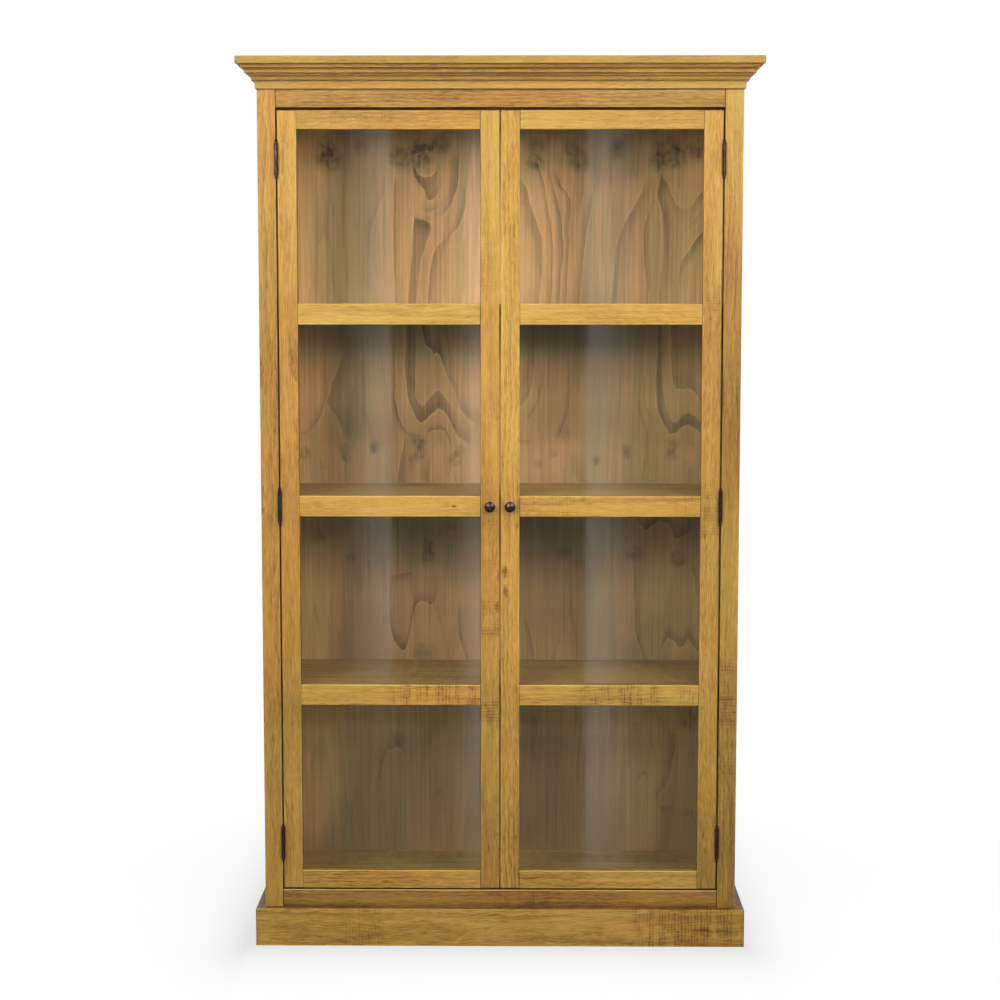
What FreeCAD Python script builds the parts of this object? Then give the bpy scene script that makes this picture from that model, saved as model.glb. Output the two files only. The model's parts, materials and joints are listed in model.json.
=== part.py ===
import FreeCAD
import Part

import math
import os

from FreeCAD import Vector

# A free-standing bookcase in honey-coloured wood with two glazed doors. Lengths are millimetres. The doors
# face -Y, +X is to the viewer's right and +Z is up. The origin lies on the floor, under the middle of the
# crown's top board, which is the widest and deepest piece.

# Overall size
OVERALL_HEIGHT = 1900.0
CARCASS_WIDTH = 1020.0
CARCASS_DEPTH = 340.0

# Crown: a top board over a moulding with two coves, mitred at the front corners
CROWN_OVERHANG = 40.0
CROWN_HEIGHT = 48.0
TOP_BOARD_THICKNESS = 16.0
TOP_BOARD_EASE = 2.0
# Steps of the moulding's outline, as shares of the overhang and of the height. One point is a straight
# step, and two points are an arc through the first to the second.
CROWN_STEP_SHARES = (
    ((0.092, 0.0),),
    ((0.092, 0.338),),
    ((0.255, 0.338),),
    ((0.255, 0.396),),
    ((0.288, 0.492), (0.365, 0.533)),
    ((0.405, 0.533),),
    ((0.405, 0.646),),
    ((0.578, 0.646),),
    ((0.578, 0.719),),
    ((0.624, 0.823), (0.732, 0.860)),
    ((0.790, 0.860),),
    ((0.790, 1.0),),
    ((0.0, 1.0),),
)

# Plinth: three boards round the foot of the case, mitred at the front corners
PLINTH_HEIGHT = 82.0
PLINTH_THICKNESS = 19.0
PLINTH_EASE = 1.5

# Case: two sides, a floor and a ceiling housed in them, and a plywood back in a rebate
SIDE_THICKNESS = 20.0
DECK_THICKNESS = 20.0
HOUSING_DEPTH = 8.0
FLOOR_DROP = 1.0
BACK_THICKNESS = 8.0
BACK_RECESS = 10.0
BACK_REBATE = 10.0
BACK_FIT = 0.5
BASE_RAIL_THICKNESS = 20.0
CORNER_BLOCK_SIZE = 40.0
CORNER_BLOCK_HEIGHT = 50.0

# Face frame: stiles to the floor, with two rails tenoned between them
FRAME_THICKNESS = 22.0
FRAME_STILE_WIDTH = 39.0
TOP_RAIL_REVEAL = 39.0
BOTTOM_RAIL_REVEAL = 37.5
BOTTOM_RAIL_TUCK = 24.0
FRAME_TENON_LENGTH = 18.0
FRAME_TENON_THICKNESS = 8.0
FRAME_TENON_SHOULDER = 8.0
FRAME_EASE = 1.3

# Doors: stiles the full height, two rails and the bars between the panes
BAR_NAMES = ("lower_bar", "middle_bar", "upper_bar")
DOOR_THICKNESS = 22.0
DOOR_STILE_WIDTH = 40.0
DOOR_RAIL_HEIGHT = 39.5
DOOR_BAR_HEIGHT = 44.0
DOOR_SIDE_GAP = 3.0
DOOR_MEETING_GAP = 3.0
DOOR_TOP_GAP = 5.0
DOOR_BOTTOM_GAP = 3.5
DOOR_TENON_LENGTH = 9.0
DOOR_TENON_THICKNESS = 6.0
DOOR_TENON_SHOULDER = 4.0
DOOR_EASE = 1.0
MORTISE_END_CLEARANCE = 0.5

# Glazing: panes laid in a rebate from behind and held by mitred beads
GLASS_LIP = 9.0
GLASS_THICKNESS = 4.0
GLASS_EDGE_CLEARANCE = 1.5
REBATE_WIDTH = 8.0

# Shelves, each level with a bar of the doors
SHELF_NAMES = ("lower_shelf", "middle_shelf", "upper_shelf")
SHELF_THICKNESS = 22.0
SHELF_DROP = 2.0
SHELF_SETBACK = 8.0
SHELF_END_CLEARANCE = 1.0
SHELF_BACK_CLEARANCE = 0.8
SHELF_EASE = 2.0

# Shelf pins: a peg in the side and a small bracket under the shelf
PEG_RADIUS = 2.5
PEG_LENGTH = 10.0
PEG_FIT = 0.05
BRACKET_LENGTH = 10.0
BRACKET_WIDTH = 10.0
BRACKET_TIP = 2.5
BRACKET_ROOT = 7.0
PEG_DROP = 3.5
PEG_MARGIN = 45.0
PEG_PITCH = 32.0
PEG_SPARES = 1

# Lift-off hinges with turned tips: the lower knuckle and the pin stay on the case, and the upper knuckle
# lifts off with the door
HINGE_HEIGHT = 68.0
HINGE_END_DISTANCE = 102.0
KNUCKLE_RADIUS = 4.2
KNUCKLE_CLEARANCE = 0.4
BARREL_STANDOFF = 0.5
HINGE_PIN_RADIUS = 2.2
HINGE_PIN_FIT = 0.05
HINGE_PIN_CLEARANCE = 0.5
KNUCKLE_END_WALL = 4.0
LEAF_THICKNESS = 1.6
LEAF_GAP = 1.8
LEAF_DEPTH = 18.0
WASHER_THICKNESS = 1.0
WASHER_LIP = 0.3
WASHER_FIT = 0.1
FINIAL_HEIGHT = 7.0
FINIAL_STEP_SHARES = (
    ((0.64, 0.0),),
    ((0.64, 0.10),),
    ((0.50, 0.22), (0.72, 0.40)),
)

# Countersunk wood screws in the hinge leaves and the strike plates
SCREW_RADIUS = 1.5
SCREW_LENGTH = 16.0
SCREW_HEAD_RADIUS = 2.9
SCREW_HEAD_DEPTH = 1.3
SCREW_FIT = 0.1
SCREW_SLOT_LENGTH = 3.0
SCREW_SLOT_WIDTH = 0.7
SCREW_SLOT_DEPTH = 0.8
LEAF_SCREW_MARGIN = 11.0
LEAF_SCREWS = 3

# Turned knobs, each held by a bolt from inside the door
KNOB_RADIUS = 11.4
KNOB_PROJECTION = 21.0
KNOB_BORE_SHARE = 0.55
KNOB_BOLT_RADIUS = 2.0
KNOB_BOLT_FIT = 0.1
KNOB_BOLT_HEAD_RADIUS = 4.0
KNOB_BOLT_HEAD_HEIGHT = 2.4
KNOB_STEP_SHARES = (
    ((0.62, 0.0),),
    ((0.62, 0.10),),
    ((0.46, 0.20), (0.43, 0.38)),
    ((0.60, 0.51), (0.95, 0.57)),
    ((1.0, 0.63), (0.97, 0.69)),
    ((0.88, 0.715),),
)

# Magnetic catches under the ceiling, with a strike plate on each door
CATCH_OFFSET = 75.0
CATCH_LENGTH = 46.0
CATCH_BODY_LENGTH = 26.0
CATCH_DEPTH = 15.0
CATCH_HEIGHT = 18.0
CATCH_EAR_THICKNESS = 3.0
CATCH_GAP = 0.3
MAGNET_LENGTH = 18.0
MAGNET_HEIGHT = 8.0
MAGNET_DEPTH = 6.0
MAGNET_MARGIN = 2.0
STRIKE_LENGTH = 34.0
STRIKE_HEIGHT = 14.0
STRIKE_THICKNESS = 1.2
STRIKE_MARGIN = 1.5
STRIKE_SCREW_SPACING = 22.0
CATCH_SCREW_LENGTH = 14.0

# Pan-head screws that hold the plywood back and the catches
PAN_RADIUS = 1.6
PAN_HEAD_RADIUS = 3.4
PAN_HEAD_HEIGHT = 2.0
BACK_SCREW_LENGTH = 25.0
BACK_SCREW_MARGIN = 70.0
BACK_SCREWS_PER_SIDE = 6
BACK_SCREWS_PER_DECK = 3

# One overrun for all cuts, and how near two places count as the same
OVERRUN = 5.0
SAME_PLACE = 0.001

# Places worked out from the sizes, seen from above
side_outer = CARCASS_WIDTH / 2
side_inner = side_outer - SIDE_THICKNESS
crown_half = side_outer + CROWN_OVERHANG
back = (CARCASS_DEPTH + CROWN_OVERHANG) / 2
front = back - CARCASS_DEPTH
crown_front = front - CROWN_OVERHANG
frame_back = front + FRAME_THICKNESS
door_back = front + DOOR_THICKNESS
panel_back = back - BACK_RECESS
panel_front = panel_back - BACK_THICKNESS
opening_half = side_outer - FRAME_STILE_WIDTH
door_outer = opening_half - DOOR_SIDE_GAP
door_inner = DOOR_MEETING_GAP / 2
sight_outer = door_outer - DOOR_STILE_WIDTH
sight_inner = door_inner + DOOR_STILE_WIDTH
lip_back = front + GLASS_LIP
glass_back = lip_back + GLASS_THICKNESS
shelf_front = max(frame_back, door_back) + SHELF_SETBACK
shelf_back = panel_front - SHELF_BACK_CLEARANCE

# Heights worked out from the sizes
board_bottom = OVERALL_HEIGHT - TOP_BOARD_THICKNESS
crown_bottom = board_bottom - CROWN_HEIGHT
opening_top = crown_bottom - TOP_RAIL_REVEAL
opening_bottom = PLINTH_HEIGHT + BOTTOM_RAIL_REVEAL
base_edge = PLINTH_HEIGHT - BOTTOM_RAIL_TUCK
floor_top = opening_bottom - FLOOR_DROP
floor_bottom = floor_top - DECK_THICKNESS
ceiling_top = opening_top + DECK_THICKNESS
door_bottom = opening_bottom + DOOR_BOTTOM_GAP
door_top = opening_top - DOOR_TOP_GAP
door_middle = (door_bottom + door_top) / 2
pane_count = len(BAR_NAMES) + 1
bars_height = len(BAR_NAMES) * DOOR_BAR_HEIGHT
sight_height = (door_top - door_bottom - 2 * DOOR_RAIL_HEIGHT - bars_height) / pane_count
sight_bottoms = [
    door_bottom + DOOR_RAIL_HEIGHT + row * (sight_height + DOOR_BAR_HEIGHT) for row in range(pane_count)
]
bar_bottoms = [bottom + sight_height for bottom in sight_bottoms[:-1]]
shelf_tops = [bottom + DOOR_BAR_HEIGHT - SHELF_DROP for bottom in bar_bottoms]

# Hinge axis and heights, for the left door
leaf_proud = (DOOR_SIDE_GAP - LEAF_GAP) / 2
leaf_inset = LEAF_THICKNESS - leaf_proud
hinge_x = -(opening_half + door_outer) / 2
hinge_y = front - KNUCKLE_RADIUS - WASHER_LIP - BARREL_STANDOFF
hinge_heights = (door_bottom + HINGE_END_DISTANCE, door_middle, door_top - HINGE_END_DISTANCE)
half_hinge = HINGE_HEIGHT / 2
knuckle_gap = WASHER_THICKNESS / 2 + WASHER_FIT

# Knob and catch places, for the left door
knob_x = -(door_inner + sight_inner) / 2
catch_x = -CATCH_OFFSET
catch_front = door_back + STRIKE_THICKNESS + CATCH_GAP
strike_top = door_top - STRIKE_MARGIN
strike_middle = strike_top - STRIKE_HEIGHT / 2

ALONG_X = Vector(1, 0, 0)
ALONG_Y = Vector(0, 1, 0)
UP = Vector(0, 0, 1)


def solid(shape):
    """The one solid that a boolean leaves, with its coplanar faces joined."""
    (result,) = shape.removeSplitter().Solids
    return result


def block(x0, x1, y0, y1, z0, z1):
    """A box between two corners."""
    return Part.makeBox(x1 - x0, y1 - y0, z1 - z0, Vector(x0, y0, z0))


def mirrored(shape):
    """The same piece on the other side of the bookcase."""
    return shape.mirror(Vector(0, 0, 0), ALONG_X)


def both_sides(pieces):
    """A set of left pieces together with their mirror images."""
    return pieces + [mirrored(piece) for piece in pieces]


def edges_at(shape, **places):
    """The edges of a shape that lie wholly at the given places, such as y=front with z=door_top."""
    found = []
    for edge in shape.Edges:
        box = edge.BoundBox
        spans = {"x": (box.XMin, box.XMax), "y": (box.YMin, box.YMax), "z": (box.ZMin, box.ZMax)}
        if all(abs(end - place) < SAME_PLACE for axis, place in places.items() for end in spans[axis]):
            found.append(edge)
    return found


def eased(shape, radius, *places):
    """A shape with the edges at each of the places rounded over."""
    edges = [edge for place in places for edge in edges_at(shape, **place)]
    return shape.makeFillet(radius, edges)


def drawn_face(start, steps, at):
    """A flat face whose outline runs from start through straight steps and arcs, and back to start."""
    edges = []
    here = start
    for step in steps:
        points = [at(*point) for point in (here, *step)]
        edges.append((Part.Arc(*points) if len(step) == 2 else Part.LineSegment(*points)).toShape())
        here = step[-1]
    if at(*here).distanceToPoint(at(*start)) > SAME_PLACE:
        edges.append(Part.LineSegment(at(*here), at(*start)).toShape())
    return Part.Face(Part.Wire(edges))


def standing_prism(corners, z0, z1):
    """An upright prism over a floor plan given by its corners."""
    wire = Part.makePolygon([Vector(x, y, z0) for x, y in (*corners, corners[0])])
    return Part.Face(wire).extrude(UP * (z1 - z0))


def front_prism(corners, y0, y1):
    """A prism that runs back from an outline drawn on the front."""
    wire = Part.makePolygon([Vector(x, y0, z) for x, z in (*corners, corners[0])])
    return Part.Face(wire).extrude(ALONG_Y * (y1 - y0))


def scaled(steps, width, height):
    """An outline's steps in real sizes, from steps in shares of a width and a height."""
    return [tuple((out * width, up * height) for out, up in step) for step in steps]


def turned(start, steps, tip):
    """A turned solid about +Z: an outline of radius and height, closed by a ball's cap up to its tip."""
    radius, low = steps[-1][-1]
    rise = tip - low
    ball = (radius * radius + rise * rise) / (2 * rise)
    half_angle = math.atan2(radius, ball - rise) / 2
    through = (ball * math.sin(half_angle), tip - ball + ball * math.cos(half_angle))
    outline = [*steps, (through, (0.0, tip))]
    face = drawn_face(start, outline, lambda out, up: Vector(out, 0, up))
    return face.revolve(Vector(0, 0, 0), UP, 360).Solids[0]


def placed(shape, seat, into):
    """A piece that was drawn along +Z from its seat, put at a seat and turned to point another way."""
    result = shape.copy()
    result.Placement = FreeCAD.Placement(seat, FreeCAD.Rotation(UP, into))
    return result


def wood_screw(fit=0.0):
    """A countersunk screw with its head flush at the seat, or with a fit the hole that it needs."""
    head = Part.makeCone(SCREW_HEAD_RADIUS + fit, SCREW_RADIUS + fit, SCREW_HEAD_DEPTH)
    shank = Part.makeCylinder(SCREW_RADIUS + fit, SCREW_LENGTH + fit)
    screw = solid(head.fuse(shank))
    if fit:
        return screw
    long_side = SCREW_SLOT_LENGTH / 2
    short_side = SCREW_SLOT_WIDTH / 2
    slot = block(-long_side, long_side, -short_side, short_side, -OVERRUN, SCREW_SLOT_DEPTH)
    cross_slot = block(-short_side, short_side, -long_side, long_side, -OVERRUN, SCREW_SLOT_DEPTH)
    return solid(screw.cut([slot, cross_slot]))


def pan_screw(radius, length, head_radius, head_height):
    """A screw whose domed head stands up from its seat, with the shank below."""
    steps = [((radius, -length),), ((radius, 0.0),), ((head_radius, 0.0),)]
    return turned((0.0, -length), steps, head_height)


def back_screw_places():
    """Where the screws go through the plywood: up both sides and along the floor and the ceiling."""
    places = []
    side_x = side_inner + BACK_REBATE / 2
    low = base_edge + BACK_SCREW_MARGIN
    step = (board_bottom - BACK_SCREW_MARGIN - low) / (BACK_SCREWS_PER_SIDE - 1)
    for row in range(BACK_SCREWS_PER_SIDE):
        places += [(-side_x, low + row * step), (side_x, low + row * step)]
    deck_step = 2 * side_inner / (BACK_SCREWS_PER_DECK + 1)
    for column in range(1, BACK_SCREWS_PER_DECK + 1):
        x = -side_inner + column * deck_step
        places += [(x, floor_bottom + DECK_THICKNESS / 2), (x, opening_top + DECK_THICKNESS / 2)]
    return [Vector(x, panel_back, z) for x, z in places]


def back_screw_holes():
    """The holes for those screws, through the plywood and on into the wood in front of it."""
    return [
        Part.makeCylinder(PAN_RADIUS + SCREW_FIT, BACK_SCREW_LENGTH + SCREW_FIT, place, -ALONG_Y)
        for place in back_screw_places()
    ]


def catch_screw_places():
    """Where the left catch is screwed up into the ceiling, at the middle of each ear."""
    reach = (CATCH_BODY_LENGTH + CATCH_LENGTH) / 4
    middle_y = catch_front + CATCH_DEPTH / 2
    seat_z = opening_top - CATCH_EAR_THICKNESS
    return [Vector(catch_x + way * reach, middle_y, seat_z) for way in (-1, 1)]


def catch_screw_holes():
    """The holes for the left catch's screws, through its ears and into the ceiling."""
    return [
        Part.makeCylinder(PAN_RADIUS + SCREW_FIT, CATCH_SCREW_LENGTH + SCREW_FIT, place, UP)
        for place in catch_screw_places()
    ]


def peg_places(shelf_top):
    """Where the left pegs of one shelf enter the side, at its front and its back."""
    z = shelf_top - SHELF_THICKNESS - PEG_DROP
    return [Vector(-side_inner, y, z) for y in (shelf_front + PEG_MARGIN, shelf_back - PEG_MARGIN)]


def case_nodes():
    """The sides, floor, ceiling, back, rear base rail and the blocks under the floor."""
    holes = back_screw_holes()
    deck_half = side_inner + HOUSING_DEPTH

    side = block(-side_outer, -side_inner, frame_back, back, 0, board_bottom)
    cuts = [block(-side_inner - BACK_REBATE, -side_inner, panel_front, back + OVERRUN, -OVERRUN,
                  board_bottom + OVERRUN)]
    for low, high in ((floor_bottom, floor_top), (opening_top, ceiling_top)):
        cuts.append(block(-deck_half, -side_inner, frame_back - OVERRUN, panel_front, low, high))
    for shelf_top in shelf_tops:
        for place in peg_places(shelf_top):
            for spare in range(-PEG_SPARES, PEG_SPARES + 1):
                start = place + UP * (spare * PEG_PITCH)
                depth = PEG_LENGTH + MORTISE_END_CLEARANCE
                cuts.append(Part.makeCylinder(PEG_RADIUS + PEG_FIT, depth, start, -ALONG_X))
    side = solid(side.cut(cuts + holes))

    floor = block(-deck_half, deck_half, frame_back, panel_front, floor_bottom, floor_top)
    ceiling = block(-deck_half, deck_half, frame_back, panel_front, opening_top, ceiling_top)
    left_catch_holes = catch_screw_holes()
    catch_holes = both_sides(left_catch_holes)
    panel_half = side_inner + BACK_REBATE - BACK_FIT
    panel = block(-panel_half, panel_half, panel_front, panel_back, base_edge, board_bottom)
    rail_front = panel_front - BASE_RAIL_THICKNESS
    base_rail = block(-side_inner, side_inner, rail_front, panel_front, 0, floor_bottom)

    blocks = []
    block_bottom = floor_bottom - CORNER_BLOCK_HEIGHT
    block_inner = -side_inner + CORNER_BLOCK_SIZE
    for y0 in (frame_back, rail_front - CORNER_BLOCK_SIZE):
        y1 = y0 + CORNER_BLOCK_SIZE
        blocks.append(block(-side_inner, block_inner, y0, y1, block_bottom, floor_bottom))
    return {
        "left_side_panel": [side],
        "right_side_panel": [mirrored(side)],
        "floor_panel": [solid(floor.cut(holes))],
        "ceiling_panel": [solid(ceiling.cut(holes + catch_holes))],
        "back_panel": [solid(panel.cut(holes))],
        "rear_base_rail": [base_rail],
        "base_corner_blocks": both_sides(blocks),
    }


def back_screw_nodes():
    """The screws that hold the plywood back."""
    screw = pan_screw(PAN_RADIUS, BACK_SCREW_LENGTH, PAN_HEAD_RADIUS, PAN_HEAD_HEIGHT)
    return {"back_panel_screws": [placed(screw, place, ALONG_Y) for place in back_screw_places()]}


def frame_nodes():
    """The face frame: two stiles let in for the hinges, and two rails tenoned between them."""
    tenon_front = front + (FRAME_THICKNESS - FRAME_TENON_THICKNESS) / 2
    tenon_back = tenon_front + FRAME_TENON_THICKNESS
    tenon_half = opening_half + FRAME_TENON_LENGTH
    mortise_half = tenon_half + MORTISE_END_CLEARANCE
    rails = {}
    cuts = []
    for name, low, high, show in (
        ("top_face_rail", opening_top, board_bottom, opening_top),
        ("bottom_face_rail", base_edge, opening_bottom, opening_bottom),
    ):
        rail = block(-opening_half, opening_half, front, frame_back, low, high)
        ends = ({"y": front, "x": -opening_half}, {"y": front, "x": opening_half}, {"y": front, "z": show})
        rail = eased(rail, FRAME_EASE, *ends)
        tenon_low = low + FRAME_TENON_SHOULDER
        tenon_high = high - FRAME_TENON_SHOULDER
        tenon = block(-tenon_half, tenon_half, tenon_front, tenon_back, tenon_low, tenon_high)
        rails[name] = [solid(rail.fuse(tenon))]
        cuts.append(block(-mortise_half, -opening_half, tenon_front, tenon_back, tenon_low, tenon_high))
    stile = block(-side_outer, -opening_half, front, frame_back, 0, board_bottom)
    stile = eased(stile, FRAME_EASE, {"y": front, "x": -side_outer}, {"y": front, "x": -opening_half})
    for height in hinge_heights:
        cuts.append(leaf_recess(height, -opening_half - leaf_inset, -opening_half + OVERRUN))
        cuts += [placed(wood_screw(SCREW_FIT), seat, -ALONG_X) for seat in frame_screw_seats(height)]
    stile = solid(stile.cut(cuts))
    return {"left_face_stile": [stile], "right_face_stile": [mirrored(stile)], **rails}


def crown_nodes():
    """The top board and the three lengths of moulding under it."""
    half = crown_half
    board = block(-half, half, crown_front, back, board_bottom, OVERALL_HEIGHT)
    rounded = [{"y": crown_front, "x": -half}, {"y": crown_front, "x": half}]
    for z in (board_bottom, OVERALL_HEIGHT):
        rounded += [{"y": crown_front, "z": z}, {"x": -half, "z": z}, {"x": half, "z": z}]
    board = eased(board, TOP_BOARD_EASE, *rounded)

    def across(out, up):
        return Vector(-half, front - out * CROWN_OVERHANG, crown_bottom + up * CROWN_HEIGHT)

    def along_side(out, up):
        return Vector(-side_outer - out * CROWN_OVERHANG, crown_front, crown_bottom + up * CROWN_HEIGHT)

    front_face = drawn_face((0.0, 0.0), CROWN_STEP_SHARES, across)
    front_length = front_face.extrude(ALONG_X * (2 * half))
    side_face = drawn_face((0.0, 0.0), CROWN_STEP_SHARES, along_side)
    side_length = side_face.extrude(ALONG_Y * (back - crown_front))
    front_plan = ((-half, crown_front), (half, crown_front), (side_outer, front), (-side_outer, front))
    side_plan = ((-half, crown_front), (-side_outer, front), (-side_outer, back), (-half, back))
    front_piece = solid(front_length.common(standing_prism(front_plan, crown_bottom, board_bottom)))
    side_piece = solid(side_length.common(standing_prism(side_plan, crown_bottom, board_bottom)))
    return {
        "crown_top_board": [board],
        "crown_front_moulding": [front_piece],
        "crown_left_moulding": [side_piece],
        "crown_right_moulding": [mirrored(side_piece)],
    }


def plinth_nodes():
    """The three plinth boards round the foot of the case."""
    outer = side_outer + PLINTH_THICKNESS
    face = front - PLINTH_THICKNESS
    front_plan = ((-outer, face), (outer, face), (side_outer, front), (-side_outer, front))
    side_plan = ((-outer, face), (-side_outer, front), (-side_outer, back), (-outer, back))
    front_board = standing_prism(front_plan, 0, PLINTH_HEIGHT)
    front_board = eased(front_board, PLINTH_EASE, {"y": face, "z": PLINTH_HEIGHT})
    side_board = standing_prism(side_plan, 0, PLINTH_HEIGHT)
    side_board = eased(side_board, PLINTH_EASE, {"x": -outer, "z": PLINTH_HEIGHT})
    return {
        "plinth_front_board": [front_board],
        "plinth_left_board": [side_board],
        "plinth_right_board": [mirrored(side_board)],
    }


def shelf_nodes():
    """The three shelves and the pins that carry them."""
    nodes = {}
    pins = []
    half = side_inner - SHELF_END_CLEARANCE
    for name, top in zip(SHELF_NAMES, shelf_tops):
        bottom = top - SHELF_THICKNESS
        shelf = block(-half, half, shelf_front, shelf_back, bottom, top)
        front_edges = ({"y": shelf_front, "z": bottom}, {"y": shelf_front, "z": top})
        nodes[name] = [eased(shelf, SHELF_EASE, *front_edges)]
        for place in peg_places(top):
            tip = -side_inner + BRACKET_LENGTH
            corners = (
                (-side_inner, bottom),
                (tip, bottom),
                (tip, bottom - BRACKET_TIP),
                (-side_inner, bottom - BRACKET_ROOT),
            )
            bracket = front_prism(corners, place.y - BRACKET_WIDTH / 2, place.y + BRACKET_WIDTH / 2)
            peg = Part.makeCylinder(PEG_RADIUS, PEG_LENGTH, place, -ALONG_X)
            pin = solid(bracket.fuse(peg))
            pins += [pin, mirrored(pin)]
    nodes["shelf_pins"] = pins
    return nodes


def leaf_recess(height, x0, x1):
    """The shallow recess for one hinge leaf, open at the front."""
    return block(x0, x1, front - OVERRUN, front + LEAF_DEPTH, height - half_hinge, height + half_hinge)


def leaf_screw_offsets():
    """How far each screw of a leaf lies above the hinge's middle."""
    reach = half_hinge - LEAF_SCREW_MARGIN
    return [-reach + 2 * reach * row / (LEAF_SCREWS - 1) for row in range(LEAF_SCREWS)]


def frame_screw_seats(height):
    """Where the heads of the screws lie in the leaf on the left face stile."""
    x = -opening_half + leaf_proud
    return [Vector(x, front + LEAF_DEPTH / 2, height + offset) for offset in leaf_screw_offsets()]


def door_screw_seats(height):
    """Where the heads of the screws lie in the leaf on the left door."""
    x = -door_outer - leaf_proud
    return [Vector(x, front + LEAF_DEPTH / 2, height + offset) for offset in leaf_screw_offsets()]


def frame_leaf(height):
    """The leaf on the case, with the lower knuckle, its turned tip and a blind bore for the pin."""
    centre = Vector(hinge_x, hinge_y, height)
    low = centre - UP * half_hinge
    outer = -opening_half - leaf_inset
    bottom = height - half_hinge
    plate = block(outer, outer + LEAF_THICKNESS, hinge_y, front + LEAF_DEPTH, bottom, height + half_hinge)
    room_radius = KNUCKLE_RADIUS + WASHER_LIP + KNUCKLE_CLEARANCE
    room = Part.makeCylinder(room_radius, half_hinge + OVERRUN, centre - UP * knuckle_gap, UP)
    knuckle = Part.makeCylinder(KNUCKLE_RADIUS, half_hinge - knuckle_gap, low, UP)
    finial_steps = scaled(FINIAL_STEP_SHARES, KNUCKLE_RADIUS, FINIAL_HEIGHT)
    finial = placed(turned((0.0, 0.0), finial_steps, FINIAL_HEIGHT), low, -UP)
    bore_start = low + UP * KNUCKLE_END_WALL
    bore = Part.makeCylinder(HINGE_PIN_RADIUS + HINGE_PIN_FIT, HINGE_HEIGHT, bore_start, UP)
    holes = [placed(wood_screw(SCREW_FIT), seat, -ALONG_X) for seat in frame_screw_seats(height)]
    return solid(plate.cut(room).fuse([knuckle, finial]).cut([bore, *holes]))


def door_leaf(height):
    """The leaf on the door: the case's leaf turned end over end about the middle of the hinge."""
    leaf = frame_leaf(height)
    leaf.rotate(Vector(hinge_x, hinge_y, height), ALONG_Y, 180)
    return leaf


def hinge_pin(height):
    """The pin that stands in the lower knuckle and carries the upper one."""
    foot = Vector(hinge_x, hinge_y, height - half_hinge + KNUCKLE_END_WALL)
    length = HINGE_HEIGHT - 2 * KNUCKLE_END_WALL - HINGE_PIN_CLEARANCE
    return Part.makeCylinder(HINGE_PIN_RADIUS, length, foot, UP)


def hinge_washer(height):
    """The ring that the two knuckles turn on."""
    foot = Vector(hinge_x, hinge_y, height - knuckle_gap)
    ring = Part.makeCylinder(KNUCKLE_RADIUS + WASHER_LIP, WASHER_THICKNESS, foot, UP)
    return solid(ring.cut(Part.makeCylinder(HINGE_PIN_RADIUS + HINGE_PIN_FIT, WASHER_THICKNESS, foot, UP)))


def hinge_nodes():
    """What of the six hinges stays on the case: leaves, pins, washers and screws."""
    leaves = [frame_leaf(height) for height in hinge_heights]
    seats = [seat for height in hinge_heights for seat in frame_screw_seats(height)]
    screws = [placed(wood_screw(), seat, -ALONG_X) for seat in seats]
    return {
        "left_hinge_case_leaves": leaves,
        "right_hinge_case_leaves": [mirrored(leaf) for leaf in leaves],
        "hinge_pins": both_sides([hinge_pin(height) for height in hinge_heights]),
        "hinge_washers": both_sides([hinge_washer(height) for height in hinge_heights]),
        "case_hinge_screws": both_sides(screws),
    }


def catch_nodes():
    """The two magnetic catches under the ceiling."""
    bottom = opening_top - CATCH_HEIGHT
    rear = catch_front + CATCH_DEPTH
    body_half = CATCH_BODY_LENGTH / 2
    half = CATCH_LENGTH / 2
    magnet_half = MAGNET_LENGTH / 2
    body = block(catch_x - body_half, catch_x + body_half, catch_front, rear, bottom, opening_top)
    ear_bottom = opening_top - CATCH_EAR_THICKNESS
    ears = block(catch_x - half, catch_x + half, catch_front, rear, ear_bottom, opening_top)
    magnet_bottom = bottom + MAGNET_MARGIN
    magnet_top = magnet_bottom + MAGNET_HEIGHT
    magnet_back = catch_front + MAGNET_DEPTH
    magnet = block(
        catch_x - magnet_half, catch_x + magnet_half, catch_front, magnet_back, magnet_bottom, magnet_top
    )
    housing = solid(body.fuse(ears).cut([magnet, *catch_screw_holes()]))
    screw = pan_screw(PAN_RADIUS, CATCH_SCREW_LENGTH, PAN_HEAD_RADIUS, PAN_HEAD_HEIGHT)
    screws = [placed(screw, place, -UP) for place in catch_screw_places()]
    return {
        "catch_housings": both_sides([housing]),
        "catch_magnets": both_sides([magnet]),
        "catch_screws": both_sides(screws),
    }


def door_rail(bottom, top, rebate_below, rebate_above):
    """A rail or bar: a front as wide as the glass shows, a longer back that fills the stiles' rebates, and
    stub tenons. Returns it with the mortise that its tenons need."""
    face = block(-sight_outer, -sight_inner, front, lip_back, bottom, top)
    face = eased(face, DOOR_EASE, {"y": front, "z": bottom}, {"y": front, "z": top})
    low = bottom + (REBATE_WIDTH if rebate_below else 0)
    high = top - (REBATE_WIDTH if rebate_above else 0)
    left = -sight_outer - REBATE_WIDTH
    right = -sight_inner + REBATE_WIDTH
    rear = block(left, right, lip_back, door_back, low, high)
    tenon_low = low + DOOR_TENON_SHOULDER
    tenon_high = high - DOOR_TENON_SHOULDER
    tenon_back = lip_back + DOOR_TENON_THICKNESS
    reach = DOOR_TENON_LENGTH
    tenon = block(left - reach, right + reach, lip_back, tenon_back, tenon_low, tenon_high)
    reach += MORTISE_END_CLEARANCE
    mortise = block(left - reach, right + reach, lip_back, tenon_back, tenon_low, tenon_high)
    return solid(face.fuse([rear, tenon])), mortise


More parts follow.
